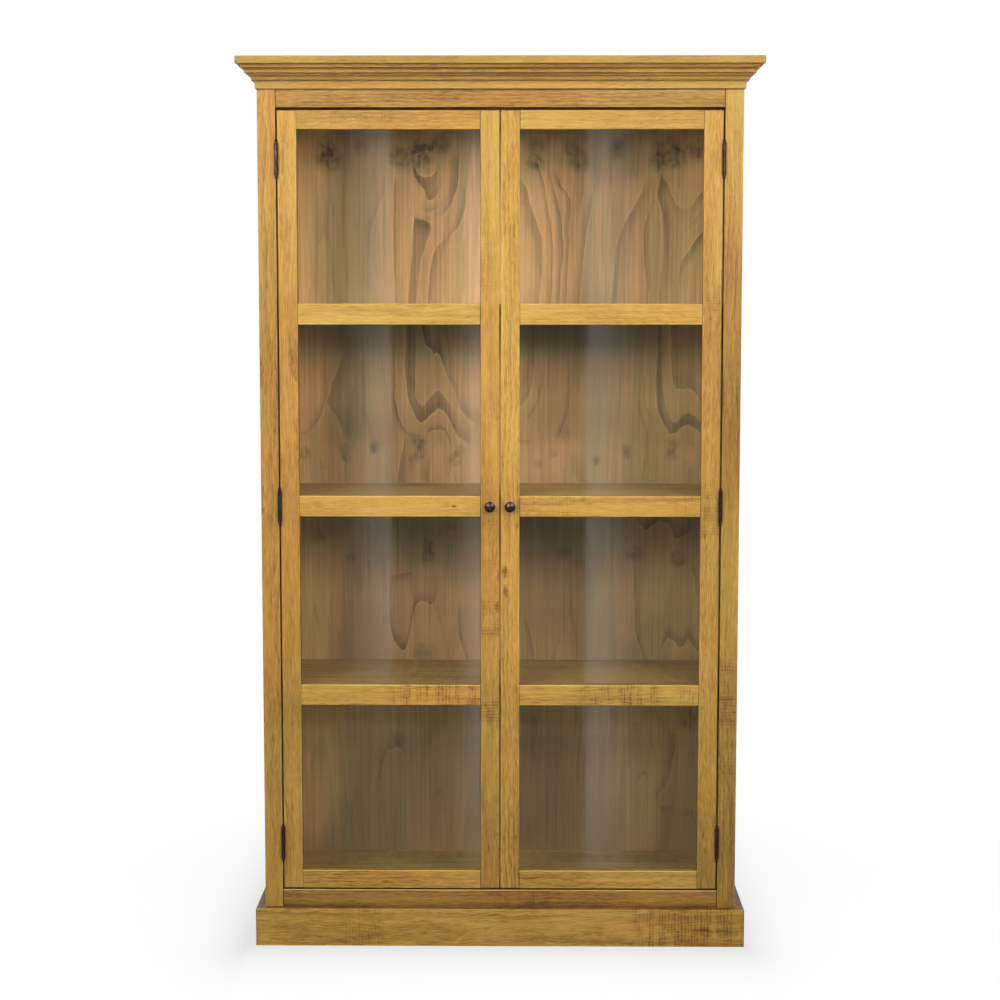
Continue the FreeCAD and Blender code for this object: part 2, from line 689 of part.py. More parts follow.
def door_bead_ring(bottom):
    """The four mitred beads that hold one pane."""
    top = bottom + sight_height
    inner = [(-sight_outer, bottom), (-sight_inner, bottom), (-sight_inner, top), (-sight_outer, top)]
    left, right = -sight_outer - REBATE_WIDTH, -sight_inner + REBATE_WIDTH
    low, high = bottom - REBATE_WIDTH, top + REBATE_WIDTH
    outer = [(left, low), (right, low), (right, high), (left, high)]
    beads = []
    for here in range(len(outer)):
        after = (here + 1) % len(outer)
        corners = (outer[here], outer[after], inner[after], inner[here])
        beads.append(front_prism(corners, glass_back, door_back))
    return beads


def door_pane(bottom):
    """One pane of glass, a little smaller than its rebate."""
    bite = REBATE_WIDTH - GLASS_EDGE_CLEARANCE
    left, right = -sight_outer - bite, -sight_inner + bite
    return block(left, right, lip_back, glass_back, bottom - bite, bottom + sight_height + bite)


def knob():
    """A turned mushroom knob with a blind bore for its bolt."""
    steps = scaled(KNOB_STEP_SHARES, KNOB_RADIUS, KNOB_PROJECTION)
    bore = Part.makeCylinder(KNOB_BOLT_RADIUS + KNOB_BOLT_FIT, KNOB_BORE_SHARE * KNOB_PROJECTION)
    knob_shape = solid(turned((0.0, 0.0), steps, KNOB_PROJECTION).cut(bore))
    return placed(knob_shape, Vector(knob_x, front, door_middle), -ALONG_Y)


def knob_bolt():
    """The bolt that pulls the knob against the door, with its head inside."""
    length = DOOR_THICKNESS + KNOB_BORE_SHARE * KNOB_PROJECTION - MORTISE_END_CLEARANCE
    bolt = pan_screw(KNOB_BOLT_RADIUS, length, KNOB_BOLT_HEAD_RADIUS, KNOB_BOLT_HEAD_HEIGHT)
    return placed(bolt, Vector(knob_x, door_back, door_middle), ALONG_Y)


def strike_screw_seats():
    """Where the heads of the strike plate's screws lie on the left door."""
    spread = STRIKE_SCREW_SPACING / 2
    y = door_back + STRIKE_THICKNESS
    return [Vector(catch_x + way * spread, y, strike_middle) for way in (-1, 1)]


def door_nodes():
    """The left door, piece by piece."""
    screw_hole = wood_screw(SCREW_FIT)
    leaf_seats = [seat for height in hinge_heights for seat in door_screw_seats(height)]
    holes = [placed(screw_hole, seat, ALONG_X) for seat in leaf_seats]
    strike_holes = [placed(screw_hole, seat, -ALONG_Y) for seat in strike_screw_seats()]
    bolt_start = Vector(knob_x, door_back + OVERRUN, door_middle)
    bolt_length = DOOR_THICKNESS + 2 * OVERRUN
    holes += [Part.makeCylinder(KNOB_BOLT_RADIUS + KNOB_BOLT_FIT, bolt_length, bolt_start, -ALONG_Y)]
    holes += strike_holes

    rows = [("bottom_rail", door_bottom, DOOR_RAIL_HEIGHT, False, True)]
    rows += [(name, low, DOOR_BAR_HEIGHT, True, True) for name, low in zip(BAR_NAMES, bar_bottoms)]
    rows += [("top_rail", door_top - DOOR_RAIL_HEIGHT, DOOR_RAIL_HEIGHT, True, False)]
    nodes = {}
    mortises = []
    for name, low, height, rebate_below, rebate_above in rows:
        rail, mortise = door_rail(low, low + height, rebate_below, rebate_above)
        nodes[name] = [solid(rail.cut(holes))]
        mortises.append(mortise)

    rebate = block(
        -sight_outer - REBATE_WIDTH, -sight_inner + REBATE_WIDTH, lip_back, door_back + OVERRUN,
        door_bottom - OVERRUN, door_top + OVERRUN,
    )
    recess_left = -door_outer - OVERRUN
    recesses = [leaf_recess(height, recess_left, -door_outer + leaf_inset) for height in hinge_heights]
    for name, x0, x1 in (
        ("hinge_stile", -door_outer, -sight_outer),
        ("meeting_stile", -sight_inner, -door_inner),
    ):
        stile = block(x0, x1, front, door_back, door_bottom, door_top)
        stile = eased(stile, DOOR_EASE, {"y": front, "x": x0}, {"y": front, "x": x1})
        nodes[name] = [solid(stile.cut([rebate, *mortises, *recesses, *holes]))]

    half_strike = STRIKE_LENGTH / 2
    strike_back = door_back + STRIKE_THICKNESS
    strike_bottom = strike_top - STRIKE_HEIGHT
    strike = block(
        catch_x - half_strike, catch_x + half_strike, door_back, strike_back, strike_bottom, strike_top
    )
    screws = [placed(wood_screw(), seat, ALONG_X) for seat in leaf_seats]
    screws += [placed(wood_screw(), seat, -ALONG_Y) for seat in strike_screw_seats()]
    nodes["glass_panes"] = [door_pane(bottom) for bottom in sight_bottoms]
    nodes["glazing_beads"] = [bead for bottom in sight_bottoms for bead in door_bead_ring(bottom)]
    nodes["hinge_leaves"] = [door_leaf(height) for height in hinge_heights]
    nodes["knob"] = [knob()]
    nodes["knob_bolt"] = [knob_bolt()]
    nodes["strike_plate"] = [solid(strike.cut(strike_holes))]
    nodes["screws"] = screws
    return nodes


def all_nodes():
    """Every piece of the bookcase, by node."""
    nodes = {}
    for made in (
        case_nodes(), back_screw_nodes(), frame_nodes(), crown_nodes(), plinth_nodes(), shelf_nodes(),
        hinge_nodes(), catch_nodes(),
    ):
        nodes.update(made)
    for name, pieces in door_nodes().items():
        nodes["left_door_" + name] = pieces
        nodes["right_door_" + name] = [mirrored(piece) for piece in pieces]
    return nodes


os.makedirs("parts", exist_ok=True)
for node, pieces in all_nodes().items():
    shape = pieces[0] if len(pieces) == 1 else Part.makeCompound(pieces)
    shape.exportStep("parts/" + node + ".step")
    print(node, len(pieces), "solids", "valid" if shape.isValid() else "NOT VALID", round(shape.Volume))
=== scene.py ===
# %% [markdown]
# A bookcase with glass doors. The construction comes as a finished model: every board, pane, hinge leaf and
# screw is a node of its own, already in its place, in metres. This lesson gives each of them its finish,
# and then sets up the camera, the light and the floor of a plain studio. Nothing of the model is moved.

# %% Load the construction
import json
import math
import random

import bpy
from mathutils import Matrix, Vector


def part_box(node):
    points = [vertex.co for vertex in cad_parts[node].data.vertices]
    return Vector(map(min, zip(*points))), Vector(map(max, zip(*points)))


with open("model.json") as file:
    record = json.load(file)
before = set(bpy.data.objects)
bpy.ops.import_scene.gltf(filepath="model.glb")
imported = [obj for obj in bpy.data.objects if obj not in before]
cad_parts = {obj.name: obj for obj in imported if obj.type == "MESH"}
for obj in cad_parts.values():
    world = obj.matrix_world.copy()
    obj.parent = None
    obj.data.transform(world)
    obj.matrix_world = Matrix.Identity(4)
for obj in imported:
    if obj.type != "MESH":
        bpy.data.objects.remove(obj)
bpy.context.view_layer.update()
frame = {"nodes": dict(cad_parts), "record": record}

pieces = frame["nodes"]

# %% [markdown]
# Every finish here is worked out by shader nodes. Joining dozens of Math nodes by hand is slow to write and
# hard to read, so one small class stands for what leaves a socket. Python's own operators on it add the
# Math nodes, and one method adds any other node: its settings first, then the values or wires of its
# sockets.


# %% A wire between shader nodes
class Wire:
    """What leaves one socket of a material. Sums and products of wires add Math nodes."""

    def __init__(self, tree, socket=None):
        self.tree = tree
        self.socket = socket

    @staticmethod
    def named(sockets, name):
        return next(socket for socket in sockets if name in (socket.identifier, socket.name))

    def node(self, kind, settings=None, sockets=None, out=None):
        """Adds a node with these settings and sockets, and returns the wire from one of its outputs."""
        made = self.tree.nodes.new(kind)
        for name, value in (settings or {}).items():
            if name == "stops":
                self.set_stops(made.color_ramp.elements, value)
            else:
                setattr(made, name, value)
        for name, value in (sockets or {}).items():
            socket = self.named(made.inputs, name)
            if isinstance(value, Wire):
                self.tree.links.new(value.socket, socket)
            else:
                socket.default_value = (*value, 1.0) if socket.type == "RGBA" else value
        if not made.outputs:
            return None
        return Wire(self.tree, self.named(made.outputs, out) if out else made.outputs[0])

    @staticmethod
    def set_stops(elements, stops):
        while len(elements) < len(stops):
            elements.new(1.0)
        for element, (place, colour) in zip(elements, stops):
            element.position = place
            element.color = (*colour, 1.0)

    def other(self, out):
        """Another output of the node that this wire comes from."""
        return Wire(self.tree, self.named(self.socket.node.outputs, out))

    def maths(self, operation, first, second=0.0):
        return self.node("ShaderNodeMath", {"operation": operation}, {"Value": first, "Value_001": second})

    def __add__(self, more):
        return self.maths("ADD", self, more)

    __radd__ = __add__

    def __mul__(self, times):
        return self.maths("MULTIPLY", self, times)

    __rmul__ = __mul__

    def __sub__(self, less):
        return self.maths("SUBTRACT", self, less)

    def __rsub__(self, whole):
        return self.maths("SUBTRACT", whole, self)

    def __abs__(self):
        return self.maths("ABSOLUTE", self)


def new_finish(name):
    """An empty material, and a wire to start its nodes from."""
    material = bpy.data.materials.new(name)
    material.use_nodes = True
    material.node_tree.nodes.clear()
    return material, Wire(material.node_tree)


def noise(at, scale, detail=2.0, roughness=0.5, out=None):
    """Soft random spots from 0 to 1, stretched by a scale for each direction."""
    spread = at.node("ShaderNodeVectorMath", {"operation": "MULTIPLY"}, {"Vector": at, "Vector_001": scale})
    sockets = {"Vector": spread, "Scale": 1.0, "Detail": detail, "Roughness": roughness}
    return at.node("ShaderNodeTexNoise", {}, sockets, out)


def rise(value, low, high):
    """0 below low and 1 above high, with a smooth step between."""
    sockets = {"Value": value, "From Min": low, "From Max": high}
    return value.node("ShaderNodeMapRange", {"interpolation_type": "SMOOTHSTEP"}, sockets)


def between(value, low, high, soft):
    """1 from low to high, falling off softly outside."""
    return rise(value, low - soft, low + soft) * (1 - rise(value, high - soft, high + soft))


def moved(at, by):
    return at.node("ShaderNodeVectorMath", {"operation": "ADD"}, {"Vector": at, "Vector_001": by})


def blended(share, first, second, kind="MIX"):
    """Two colours mixed by a share of the second, or the first one multiplied by it."""
    wire = next(value for value in (share, first, second) if isinstance(value, Wire))
    sockets = {"Factor_Float": share, "A_Color": first, "B_Color": second}
    return wire.node("ShaderNodeMix", {"data_type": "RGBA", "blend_type": kind}, sockets, out="Result_Color")


def curve(value, points):
    """A smooth curve through points, level beyond its ends."""
    wire = value.node("ShaderNodeFloatCurve", {}, {"Value": value})
    mapping = wire.socket.node.mapping
    mapping.use_clip = False
    mapping.extend = "HORIZONTAL"
    knots = mapping.curves[0].points
    for place in sorted(points)[2:]:
        knots.new(*place)
    for knot, place in zip(knots, sorted(points)):
        knot.location = place
        knot.handle_type = "AUTO_CLAMPED"
    mapping.update()
    return wire


def new_group(name, inputs):
    """An empty group of nodes, and the wires from its inputs. It keeps a long material short."""
    group = bpy.data.node_groups.new(name, "ShaderNodeTree")
    for title in inputs:
        group.interface.new_socket(title, in_out="INPUT", socket_type="NodeSocketFloat")
    group.interface.new_socket("Result", in_out="OUTPUT", socket_type="NodeSocketFloat")
    first = Wire(group).node("NodeGroupInput")
    return group, [first.other(title) for title in inputs]


def show(start, shader):
    """Puts a shader on the material's surface."""
    start.node("ShaderNodeOutputMaterial", {}, {"Surface": shader})


def position(start):
    """A point's place on the object, whole and split into X, Y and Z."""
    place = start.node("ShaderNodeTexCoord", out="Object")
    return place, place.node("ShaderNodeSeparateXYZ", {}, {"Vector": place})


def grey(value):
    """A colour with the same value in red, green and blue."""
    return value.node("ShaderNodeCombineXYZ", {}, {"X": value, "Y": value, "Z": value})


def skin(start, colour, roughness, mirror, height, strength, depth, metal=0.0):
    """Puts a surface on the material, with fine grooves or dents of this strength and depth."""
    relief = start.node("ShaderNodeBump", {}, {"Strength": strength, "Distance": depth, "Height": height})
    sockets = {"Base Color": colour, "Metallic": metal, "Specular IOR Level": mirror, "Roughness": roughness,
               "Normal": relief}
    show(start, start.node("ShaderNodeBsdfPrincipled", {}, sockets))


def dress(node, material):
    """Gives a piece this material in place of its own."""
    materials = pieces[node].data.materials
    materials.clear()
    materials.append(material)


print("shader sums are ready")

# %% [markdown]
# The camera stands where the photograph was taken from: a fit of the edges of doors, crown and plinth gives
# its place, its slight tilt downwards and turn to the left, and its focal length. A camera set by eye would
# have been quicker, but then each line would miss by a pixel or two.

# %% Camera
CAMERA_PLACE = (0.045, -4.5001, 1.4102)
CAMERA_TURN = (math.radians(84.2414), math.radians(-0.0191), math.radians(0.5936))
CAMERA_LENS = 73.812

camera_data = bpy.data.cameras.new("camera")
camera_data.lens = CAMERA_LENS
camera = bpy.data.objects.new("camera", camera_data)
camera.location = CAMERA_PLACE
camera.rotation_euler = CAMERA_TURN
bpy.context.scene.collection.objects.link(camera)
bpy.context.scene.camera = camera
bpy.context.scene.view_settings.view_transform = "Standard"
print("camera at", CAMERA_PLACE)

# %% [markdown]
# The studio has two large softboxes, left and right of the camera and above it, and one high overhead. The
# pair is near enough that the crown is lit about twice as strongly as the plinth, and its light reaches the
# back of every compartment. The high one casts shadow lines under the steps of the crown, which painted
# shadow deepens, and lights the shelves near the glass. One lamp over the camera would be simpler, but it
# would mirror in the upper panes. A weak even light from all round fills the rest.

# %% Softboxes and sky
SOFTBOXES = (
    # Place, aimed at, width, height, watts, spread in degrees.
    ((-1.75, -3.05, 2.25), (0.0, -0.15, 1.4), 1.4, 1.5, 11.6, 80.0),
    ((1.75, -3.05, 2.25), (0.0, -0.15, 1.4), 1.4, 1.5, 11.6, 80.0),
    ((0.0, -2.00, 3.80), (0.0, -0.15, 1.7), 2.4, 0.8, 23.0, 150.0),
)
FILL = 0.13


def softbox(place, aim, width, height, watts, spread):
    lamp = bpy.data.lights.new("softbox", "AREA")
    lamp.shape = "RECTANGLE"
    lamp.size = width
    lamp.size_y = height
    lamp.energy = watts
    lamp.spread = math.radians(spread)
    made = bpy.data.objects.new("softbox", lamp)
    made.location = place
    made.rotation_euler = (Vector(aim) - Vector(place)).to_track_quat("-Z", "Y").to_euler()
    bpy.context.scene.collection.objects.link(made)


for row in SOFTBOXES:
    softbox(*row)

world = bpy.data.worlds.new("studio")
world.use_nodes = True
world.node_tree.nodes.clear()
sky = Wire(world.node_tree)


def seen_directly(start):
    """1 for rays that look at a thing, straight or by a mirror or glass, and 0 for rays of plain light."""
    path = start.node("ShaderNodeLightPath", out="Is Camera Ray")
    seen = path.maths("MAXIMUM", path, path.other("Is Glossy Ray"))
    return path.maths("MAXIMUM", seen, path.other("Is Transmission Ray"))


faint = sky.node("ShaderNodeBackground", {}, {"Color": (FILL,) * 3})
white = sky.node("ShaderNodeBackground", {}, {"Color": (1.0, 1.0, 1.0)})
sockets = {"Fac": seen_directly(sky), "Shader": faint, "Shader_001": white}
sky.node("ShaderNodeOutputWorld", {}, {"Surface": sky.node("ShaderNodeMixShader", {}, sockets)})
bpy.context.scene.world = world
print(len(SOFTBOXES), "softboxes and a fill of", FILL)

# %% [markdown]
# The floor is white paper. Near the bookcase it takes the shadows of the lamps, and a soft dark band of
# painted shadow runs all round the plinth. Further out it fades into the white of the room, so that no
# horizon shows. A curved sheet of paper would do the same from the front only.

# %% Floor
FLOOR_HALF = 9.0
FLOOR_DROP = 0.0005
PAPER_SEEN = 0.10
PAPER_BOUNCE = 0.36
PAPER_FIBRES = 0.01
FLOOR_GLOW = 0.945
# The paper fades into the white of the room between these two distances from the middle.
FLOOR_NEAR = 0.6
FLOOR_FAR = 1.5
# How far the painted shadow round the plinth reaches to the left, to the right and to the front, how deep
# it is, and how much deeper on the left.
SHADOW_SEAM_LEFT = 0.058
SHADOW_SEAM_RIGHT = 0.050
SHADOW_SEAM_FRONT = 0.110
SHADOW_SEAM_DEPTH = 0.230
SHADOW_SEAM_MORE_LEFT = 0.10

floor_mesh = bpy.data.meshes.new("floor")
square = [(-1, -1), (1, -1), (1, 1), (-1, 1)]
corners = [(x * FLOOR_HALF, y * FLOOR_HALF, -FLOOR_DROP) for x, y in square]
floor_mesh.from_pydata(corners, [], [range(4)])
floor = bpy.data.objects.new("floor", floor_mesh)
bpy.context.scene.collection.objects.link(floor)


def beyond(value, reach):
    """How many reaches a distance is, and 0 if it is negative."""
    return value.maths("MAXIMUM", value * (1.0 / reach), 0.0)


def white_paper():
    material, start = new_finish("white_paper")
    place, split = position(start)
    foot_low, foot_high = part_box("plinth_front_board")
    leftward = beyond(foot_low[0] - split.other("X"), SHADOW_SEAM_LEFT)
    rightward = beyond(split.other("X") - foot_high[0], SHADOW_SEAM_RIGHT)
    forward = beyond(foot_low[1] - split.other("Y"), SHADOW_SEAM_FRONT)
    away = place.maths("SQRT", leftward * leftward + rightward * rightward + forward * forward)
    # A painted shadow round the plinth, deepest at its foot and deeper on the left.
    painted_shadow = place.maths("EXPONENT", -1.0 * away)
    painted_shadow = painted_shadow * (SHADOW_SEAM_DEPTH + SHADOW_SEAM_MORE_LEFT * rise(leftward, 0.0, 0.5))
    fibres = noise(place, (900.0, 900.0, 900.0), detail=1.0)
    tone = FLOOR_GLOW - painted_shadow - PAPER_FIBRES * fibres
    glow = start.node("ShaderNodeEmission", {}, {"Color": grey(tone)})
    dim = start.node("ShaderNodeBsdfDiffuse", {}, {"Color": (PAPER_SEEN,) * 3})
    near = start.node("ShaderNodeAddShader", {}, {"Shader": dim, "Shader_001": glow})
    white = start.node("ShaderNodeEmission", {}, {"Color": (1.0, 1.0, 1.0)})
    reach = place.node("ShaderNodeVectorMath", {"operation": "LENGTH"}, {"Vector": place}, out="Value")
    far = rise(reach, FLOOR_NEAR, FLOOR_FAR)
    seen = start.node("ShaderNodeMixShader", {}, {"Fac": far, "Shader": near, "Shader_001": white})
    bounce = start.node("ShaderNodeBsdfDiffuse", {}, {"Color": (PAPER_BOUNCE,) * 3})
    sockets = {"Fac": seen_directly(start), "Shader": bounce, "Shader_001": seen}
    show(start, start.node("ShaderNodeMixShader", {}, sockets))
    return material


floor_mesh.materials.append(white_paper())
print("floor", 2 * FLOOR_HALF, "m square")

# %% [markdown]
# In the photograph each door's glass mirrors upright bands of pale light, with one sharp edge and one that
# fades. Here they are painted reflections of glowing strips that stand between the softboxes and the
# bookcase. Only mirrored rays see them, so they neither hide the view nor change the light on the wood.

# %% Glowing strips that paint reflections in the glass
STRIP_Y = -0.7
STRIP_HEIGHT = 2.3
STRIP_GLOW = 6.2
STRIP_SOFT_FOOT = 0.2
STRIPS = (
    # Left edge, right edge, glow at the left edge, glow at the right edge, and the height where it begins.
    (-0.399, -0.267, 0.0, 0.75, 0.45), (0.203, 0.348, 0.80, 0.0, 0.0), (-0.117, -0.056, 0.0, 0.8, 0.1)
)


def strip(left, right, left_glow, right_glow, foot):
    mesh = bpy.data.meshes.new("strip")
    corners = [(left, 0.0), (right, 0.0), (right, STRIP_HEIGHT), (left, STRIP_HEIGHT)]
    mesh.from_pydata([(x, STRIP_Y, z) for x, z in corners], [], [range(4)])
    made = bpy.data.objects.new("strip", mesh)
    bpy.context.scene.collection.objects.link(made)
    board, start = new_finish("pale_strip")
    _, split = position(start)
    fade = rise(split.other("X"), left, right) * (right_glow - left_glow) + left_glow
    fade = fade * rise(split.other("Z"), foot - STRIP_SOFT_FOOT, foot + STRIP_SOFT_FOOT)
    # Glows only for mirrored rays: a painted reflection in the glass.
    mirrored = start.node("ShaderNodeLightPath", out="Is Glossy Ray")
    light = start.node("ShaderNodeEmission", {}, {"Strength": STRIP_GLOW})
    clear = start.node("ShaderNodeBsdfTransparent")
    sockets = {"Fac": fade * mirrored, "Shader": clear, "Shader_001": light}
    show(start, start.node("ShaderNodeMixShader", {}, sockets))
    mesh.materials.append(board)


for row in STRIPS:
    strip(*row)
print(len(STRIPS), "strips")

# %% [markdown]
# The wood is honey-coloured, waxed and brushed, with growth rings, soft streaks, short dark pores and, here
# and there, the marks that a band saw leaves across the grain. An image of a plank would repeat and
# stretch. Here the figure fills space instead: it is long along the grain and short across it, so a board
# shows fitting figure on its face, its edge and its end, and each board is cut from another place.

# %% Grain of one board
GRAIN_ORDER = {"x": ("Z", "Y", "X"), "y": ("Z", "X", "Y"), "z": ("X", "Y", "Z")}
HONEY = (
    (0.0, (0.050, 0.022, 0.007)),
    (0.25, (0.205, 0.096, 0.022)),
    (0.45, (0.430, 0.224, 0.043)),
    (0.62, (0.615, 0.340, 0.069)),
    (0.80, (0.730, 0.444, 0.099)),
    (1.0, (0.840, 0.585, 0.178)),
)
RED_TINT = (1.02, 0.95, 0.84)
OLIVE_TINT = (0.97, 1.04, 0.98)
INSIDE_TINT = (0.99, 1.20, 2.15)
FIGURE_LAYERS = {
    # Spots per metre across and along the grain, detail, roughness, and share in the tone.
    "patina": (9.0, 3.0, 3.0, 0.5, 0.26),
    "streaks": (45.0, 2.4, 3.0, 0.6, 0.28),
    "strands": (330.0, 13.0, 2.0, 0.5, 0.30),
    "fibres": (520.0, 40.0, 2.0, 0.5, 0.40),
}
# The tone of plain wood, and how much each mark makes it darker or lighter. The darkening at the back of
# the case and on the top face behind a crest is painted shade.
PLAIN_TONE = 0.64
RING_DARK = 0.11
PORE_DARK = 0.12
SAW_DARK = 0.30
KNOT_DARK = 0.42
BACK_SHADE = 0.10
END_DARK = 0.34
LEDGE_SHADE = 0.30
RUBBED_LIGHT = 0.08
# Saw marks: metres from one to the next, how ragged and how soft their patches end, and how much they sway.
SAW_PITCH = 0.0070
SAW_RAGGED = 0.10
SAW_SOFT = 0.02
SAW_SWAY = 11.0
# Knots: how much shorter lengths along the grain count, and in radii the ragged edge, the core and the rim.
KNOT_STRETCH = 0.45
KNOT_RAGGED = 1.6
KNOT_CORE = 0.1
KNOT_RIM = 1.2
# How far in an edge is rubbed, and from where to where towards the back painted shade darkens a board,
# in metres.
EDGE_REACH = 0.0028
BACK_SHADE_FROM = -0.10
BACK_SHADE_TO = 0.17


def grain_place(start, grain, rng):
    """Where a point lies across, through and along the grain, before and after a shift of the board's own."""
    _, split = position(start)
    across, through, along = (split.other(axis) for axis in GRAIN_ORDER[grain])
    turned = start.node("ShaderNodeCombineXYZ", {}, {"X": across, "Y": through, "Z": along})
    at = moved(turned, [rng.uniform(-20.0, 20.0) for _ in range(3)])
    wave = 0.016 * (noise(at, (6.0, 6.0, 5.0)) - 0.5) + 0.006 * (noise(at, (28.0, 28.0, 26.0)) - 0.5)
    return split, across, along, turned, moved(at, start.node("ShaderNodeCombineXYZ", {}, {"X": wave}))


def ring_lines(turned, at, middle, rng):
    """Growth rings about a pith that lies beside or behind the board, bent a little along its length."""
    sway = noise(at, (2.2, 2.2, 1.1), detail=3.0) * 0.05
    sway = turned.node("ShaderNodeCombineXYZ", {}, {"X": sway, "Y": sway})
    angle = rng.uniform(0.0, math.tau)
    away = rng.uniform(0.05, 0.12)
    pith = (-middle[0] + away * math.cos(angle), -middle[1] + away * math.sin(angle), 0.0)
    bent = moved(moved(turned, pith), sway)
    settings = {"wave_type": "RINGS", "rings_direction": "Z", "wave_profile": "SAW"}
    sockets = {"Vector": bent, "Scale": 40.0, "Distortion": 3.0, "Detail": 2.0, "Detail Scale": 0.6}
    return turned.node("ShaderNodeTexWave", settings, sockets, out="Fac")


def saw_marks(at, along, patches):
    """Dark lines that a band saw left across the grain, in soft-edged patches along the board."""
    ragged = along + (noise(at, (30.0, 30.0, 14.0), detail=3.0) - 0.5) * SAW_RAGGED
    mask = 0.0
    for low, high, depth in patches:
        mask = between(ragged, low, high, SAW_SOFT) * depth + mask
    tooth = along * (math.tau / SAW_PITCH) + noise(at, (5.0, 5.0, 24.0), detail=3.0) * SAW_SWAY
    lines = rise(tooth.maths("SINE", tooth), -0.2, 1.0)
    bite = rise(noise(at, (9.0, 9.0, 55.0), detail=3.0), 0.38, 0.62)
    speckle = rise(noise(at, (70.0, 70.0, 300.0), detail=3.0, roughness=0.7), 0.32, 0.60)
    return mask * (0.20 + 0.80 * bite) * (0.45 + 0.55 * lines) * (0.15 + 0.85 * speckle)


def knot_marks(at, across, along, knots):
    """Small dark knots with ragged edges."""
    ragged = noise(at, (160.0, 160.0, 120.0), detail=3.0) - 0.5
    dark = 0.0
    for place, height, radius in knots:
        aside = across - place
        beside = (along - height) * KNOT_STRETCH
        away = aside.maths("SQRT", aside * aside + beside * beside) + ragged * (KNOT_RAGGED * radius)
        dark = 1 - rise(away, KNOT_CORE * radius, KNOT_RIM * radius) + dark
    return dark


def near_side(value, low, high, reach):
    """1 at the two ends of a range and 0 further in than reach."""
    centre, half = (low + high) / 2, (high - low) / 2
    return rise(abs(value - centre), half - reach, half - 0.15 * reach)


def timber(
    node, grain, tone=0.0, olive=0.3, figure=1.0, rings=1.0, saw=(), knots=(), hollows=(), lines=(),
    crest=0.0, heights=(), inside=0.0
):
    """Honey-coloured wood for one board. The tone lightens or darkens it, olive makes it less red, and
    heights change both from one height to the next, partly as painted light and shade. Figure and rings are
    how strong the grain is, the painted shadows are bands of painted shade under ledges, lines are painted
    shade in the gaps, dark joints and a brown middle, the crest is a painted highlight on its upper front
    edge with painted shade on the top face behind it, and inside is how much a board in the case is tinted
    greyer and darkened towards the back by painted shade."""
    rng = random.Random("board " + node)
    low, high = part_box(node)
    material, start = new_finish("honey_wood_" + node)
    split, across, along, turned, at = grain_place(start, grain, rng)
    order = ["XYZ".index(axis) for axis in GRAIN_ORDER[grain]]
    middle = [(low[axis] + high[axis]) / 2 for axis in order]

    layers = {}
    shade = 0.0
    for name, (wide, long, detail, roughness, share) in FIGURE_LAYERS.items():
        layers[name] = noise(at, (wide, wide, long), detail, roughness) - 0.5
        shade = share * layers[name] + shade
    rings = rings * ring_lines(turned, at, middle, rng)
    open_grain = rise(noise(at, (30.0, 30.0, 4.0)), 0.36, 0.62)
    dashes = rise(noise(at, (520.0, 520.0, 60.0), detail=1.0), 0.52, 0.70) * (0.25 + 0.75 * open_grain)

    shade = shade - RING_DARK * (rings * (0.4 + 0.9 * open_grain) - 0.5) - PORE_DARK * dashes
    shade = shade * figure + (PLAIN_TONE + tone)
    marks = dashes
    if saw:
        kerfs = saw_marks(at, along, saw)
        shade = shade - SAW_DARK * kerfs
        marks = marks + kerfs
    if knots:
        shade = shade - KNOT_DARK * knot_marks(at, across, along, knots)
    # Painted shadows under the crown's steps and other ledges.
    for bottom, top, depth, soft in hollows:
        shade = shade - depth * between(split.other("Z"), bottom, top, soft)
    # Changes by height: partly the board's own tone and partly painted light and shade.
    if heights:
        # The ramp holds 0 to 2 metres, with changes stored about a half because it has no negative colours.
        stops = [(height / 2, (0.5 + lighter, 0.5 + greener, 0.5)) for height, lighter, greener in heights]
        change = start.node("ShaderNodeValToRGB", {"stops": stops}, {"Fac": 0.5 * split.other("Z")})
        change = start.node("ShaderNodeSeparateXYZ", {}, {"Vector": change})
        shade = shade + change.other("X") - 0.5
        olive = change.other("Y") + (olive - 0.5)
    if inside:
        # Painted shade: a board in the case darkens towards the back.
        shade = shade - BACK_SHADE * inside * rise(split.other("Y"), BACK_SHADE_FROM, BACK_SHADE_TO)

    sides = [near_side(split.other(axis), low[i], high[i], EDGE_REACH) for i, axis in enumerate("XYZ")]
    rubbed = sides[0] * sides[1] + sides[1] * sides[2] + sides[0] * sides[2]
    shade = shade + RUBBED_LIGHT * rubbed * (0.6 + layers["streaks"])
    ends = near_side(along, low[order[2]], high[order[2]], EDGE_REACH)
    shade = shade - END_DARK * ends
    # Painted shade in the gaps round the doors and at the front of the ceiling, dark joints, and the plinth's
    # brown middle.
    for axis, place, depth, reach in lines:
        shade = shade - depth * (1 - rise(abs(split.other(axis) - place), 0.35 * reach, reach))
    # Painted highlight along the upper front edge, and painted shade on the top face behind it.
    if crest:
        upper = rise(split.other("Z"), high[2] - 0.0026, high[2] - 0.0008)
        front = 1 - rise(split.other("Y"), low[1] + 0.0010, low[1] + 0.0024)
        shade = shade + upper * (crest * front - LEDGE_SHADE * (1 - front))

    colour = start.node("ShaderNodeValToRGB", {"stops": HONEY}, {"Fac": shade})
    green = rise(noise(moved(at, (3.0, 3.0, 3.0)), (10.0, 10.0, 2.6)) + (olive - 0.3) * 0.5, 0.34, 0.66)
    colour = blended(1.0, colour, blended(green, RED_TINT, OLIVE_TINT), "MULTIPLY")
    colour = blended(inside, colour, INSIDE_TINT, "MULTIPLY")
    roughness = 0.46 + 0.16 * marks + 0.2 * layers["patina"]
    grooves = 0.4 * layers["fibres"] - 0.8 * marks
    skin(start, colour, roughness, mirror=0.35, height=grooves, strength=0.35, depth=0.0006)
    return material


print("wood, with", len(HONEY), "tones from pore to pale streak")
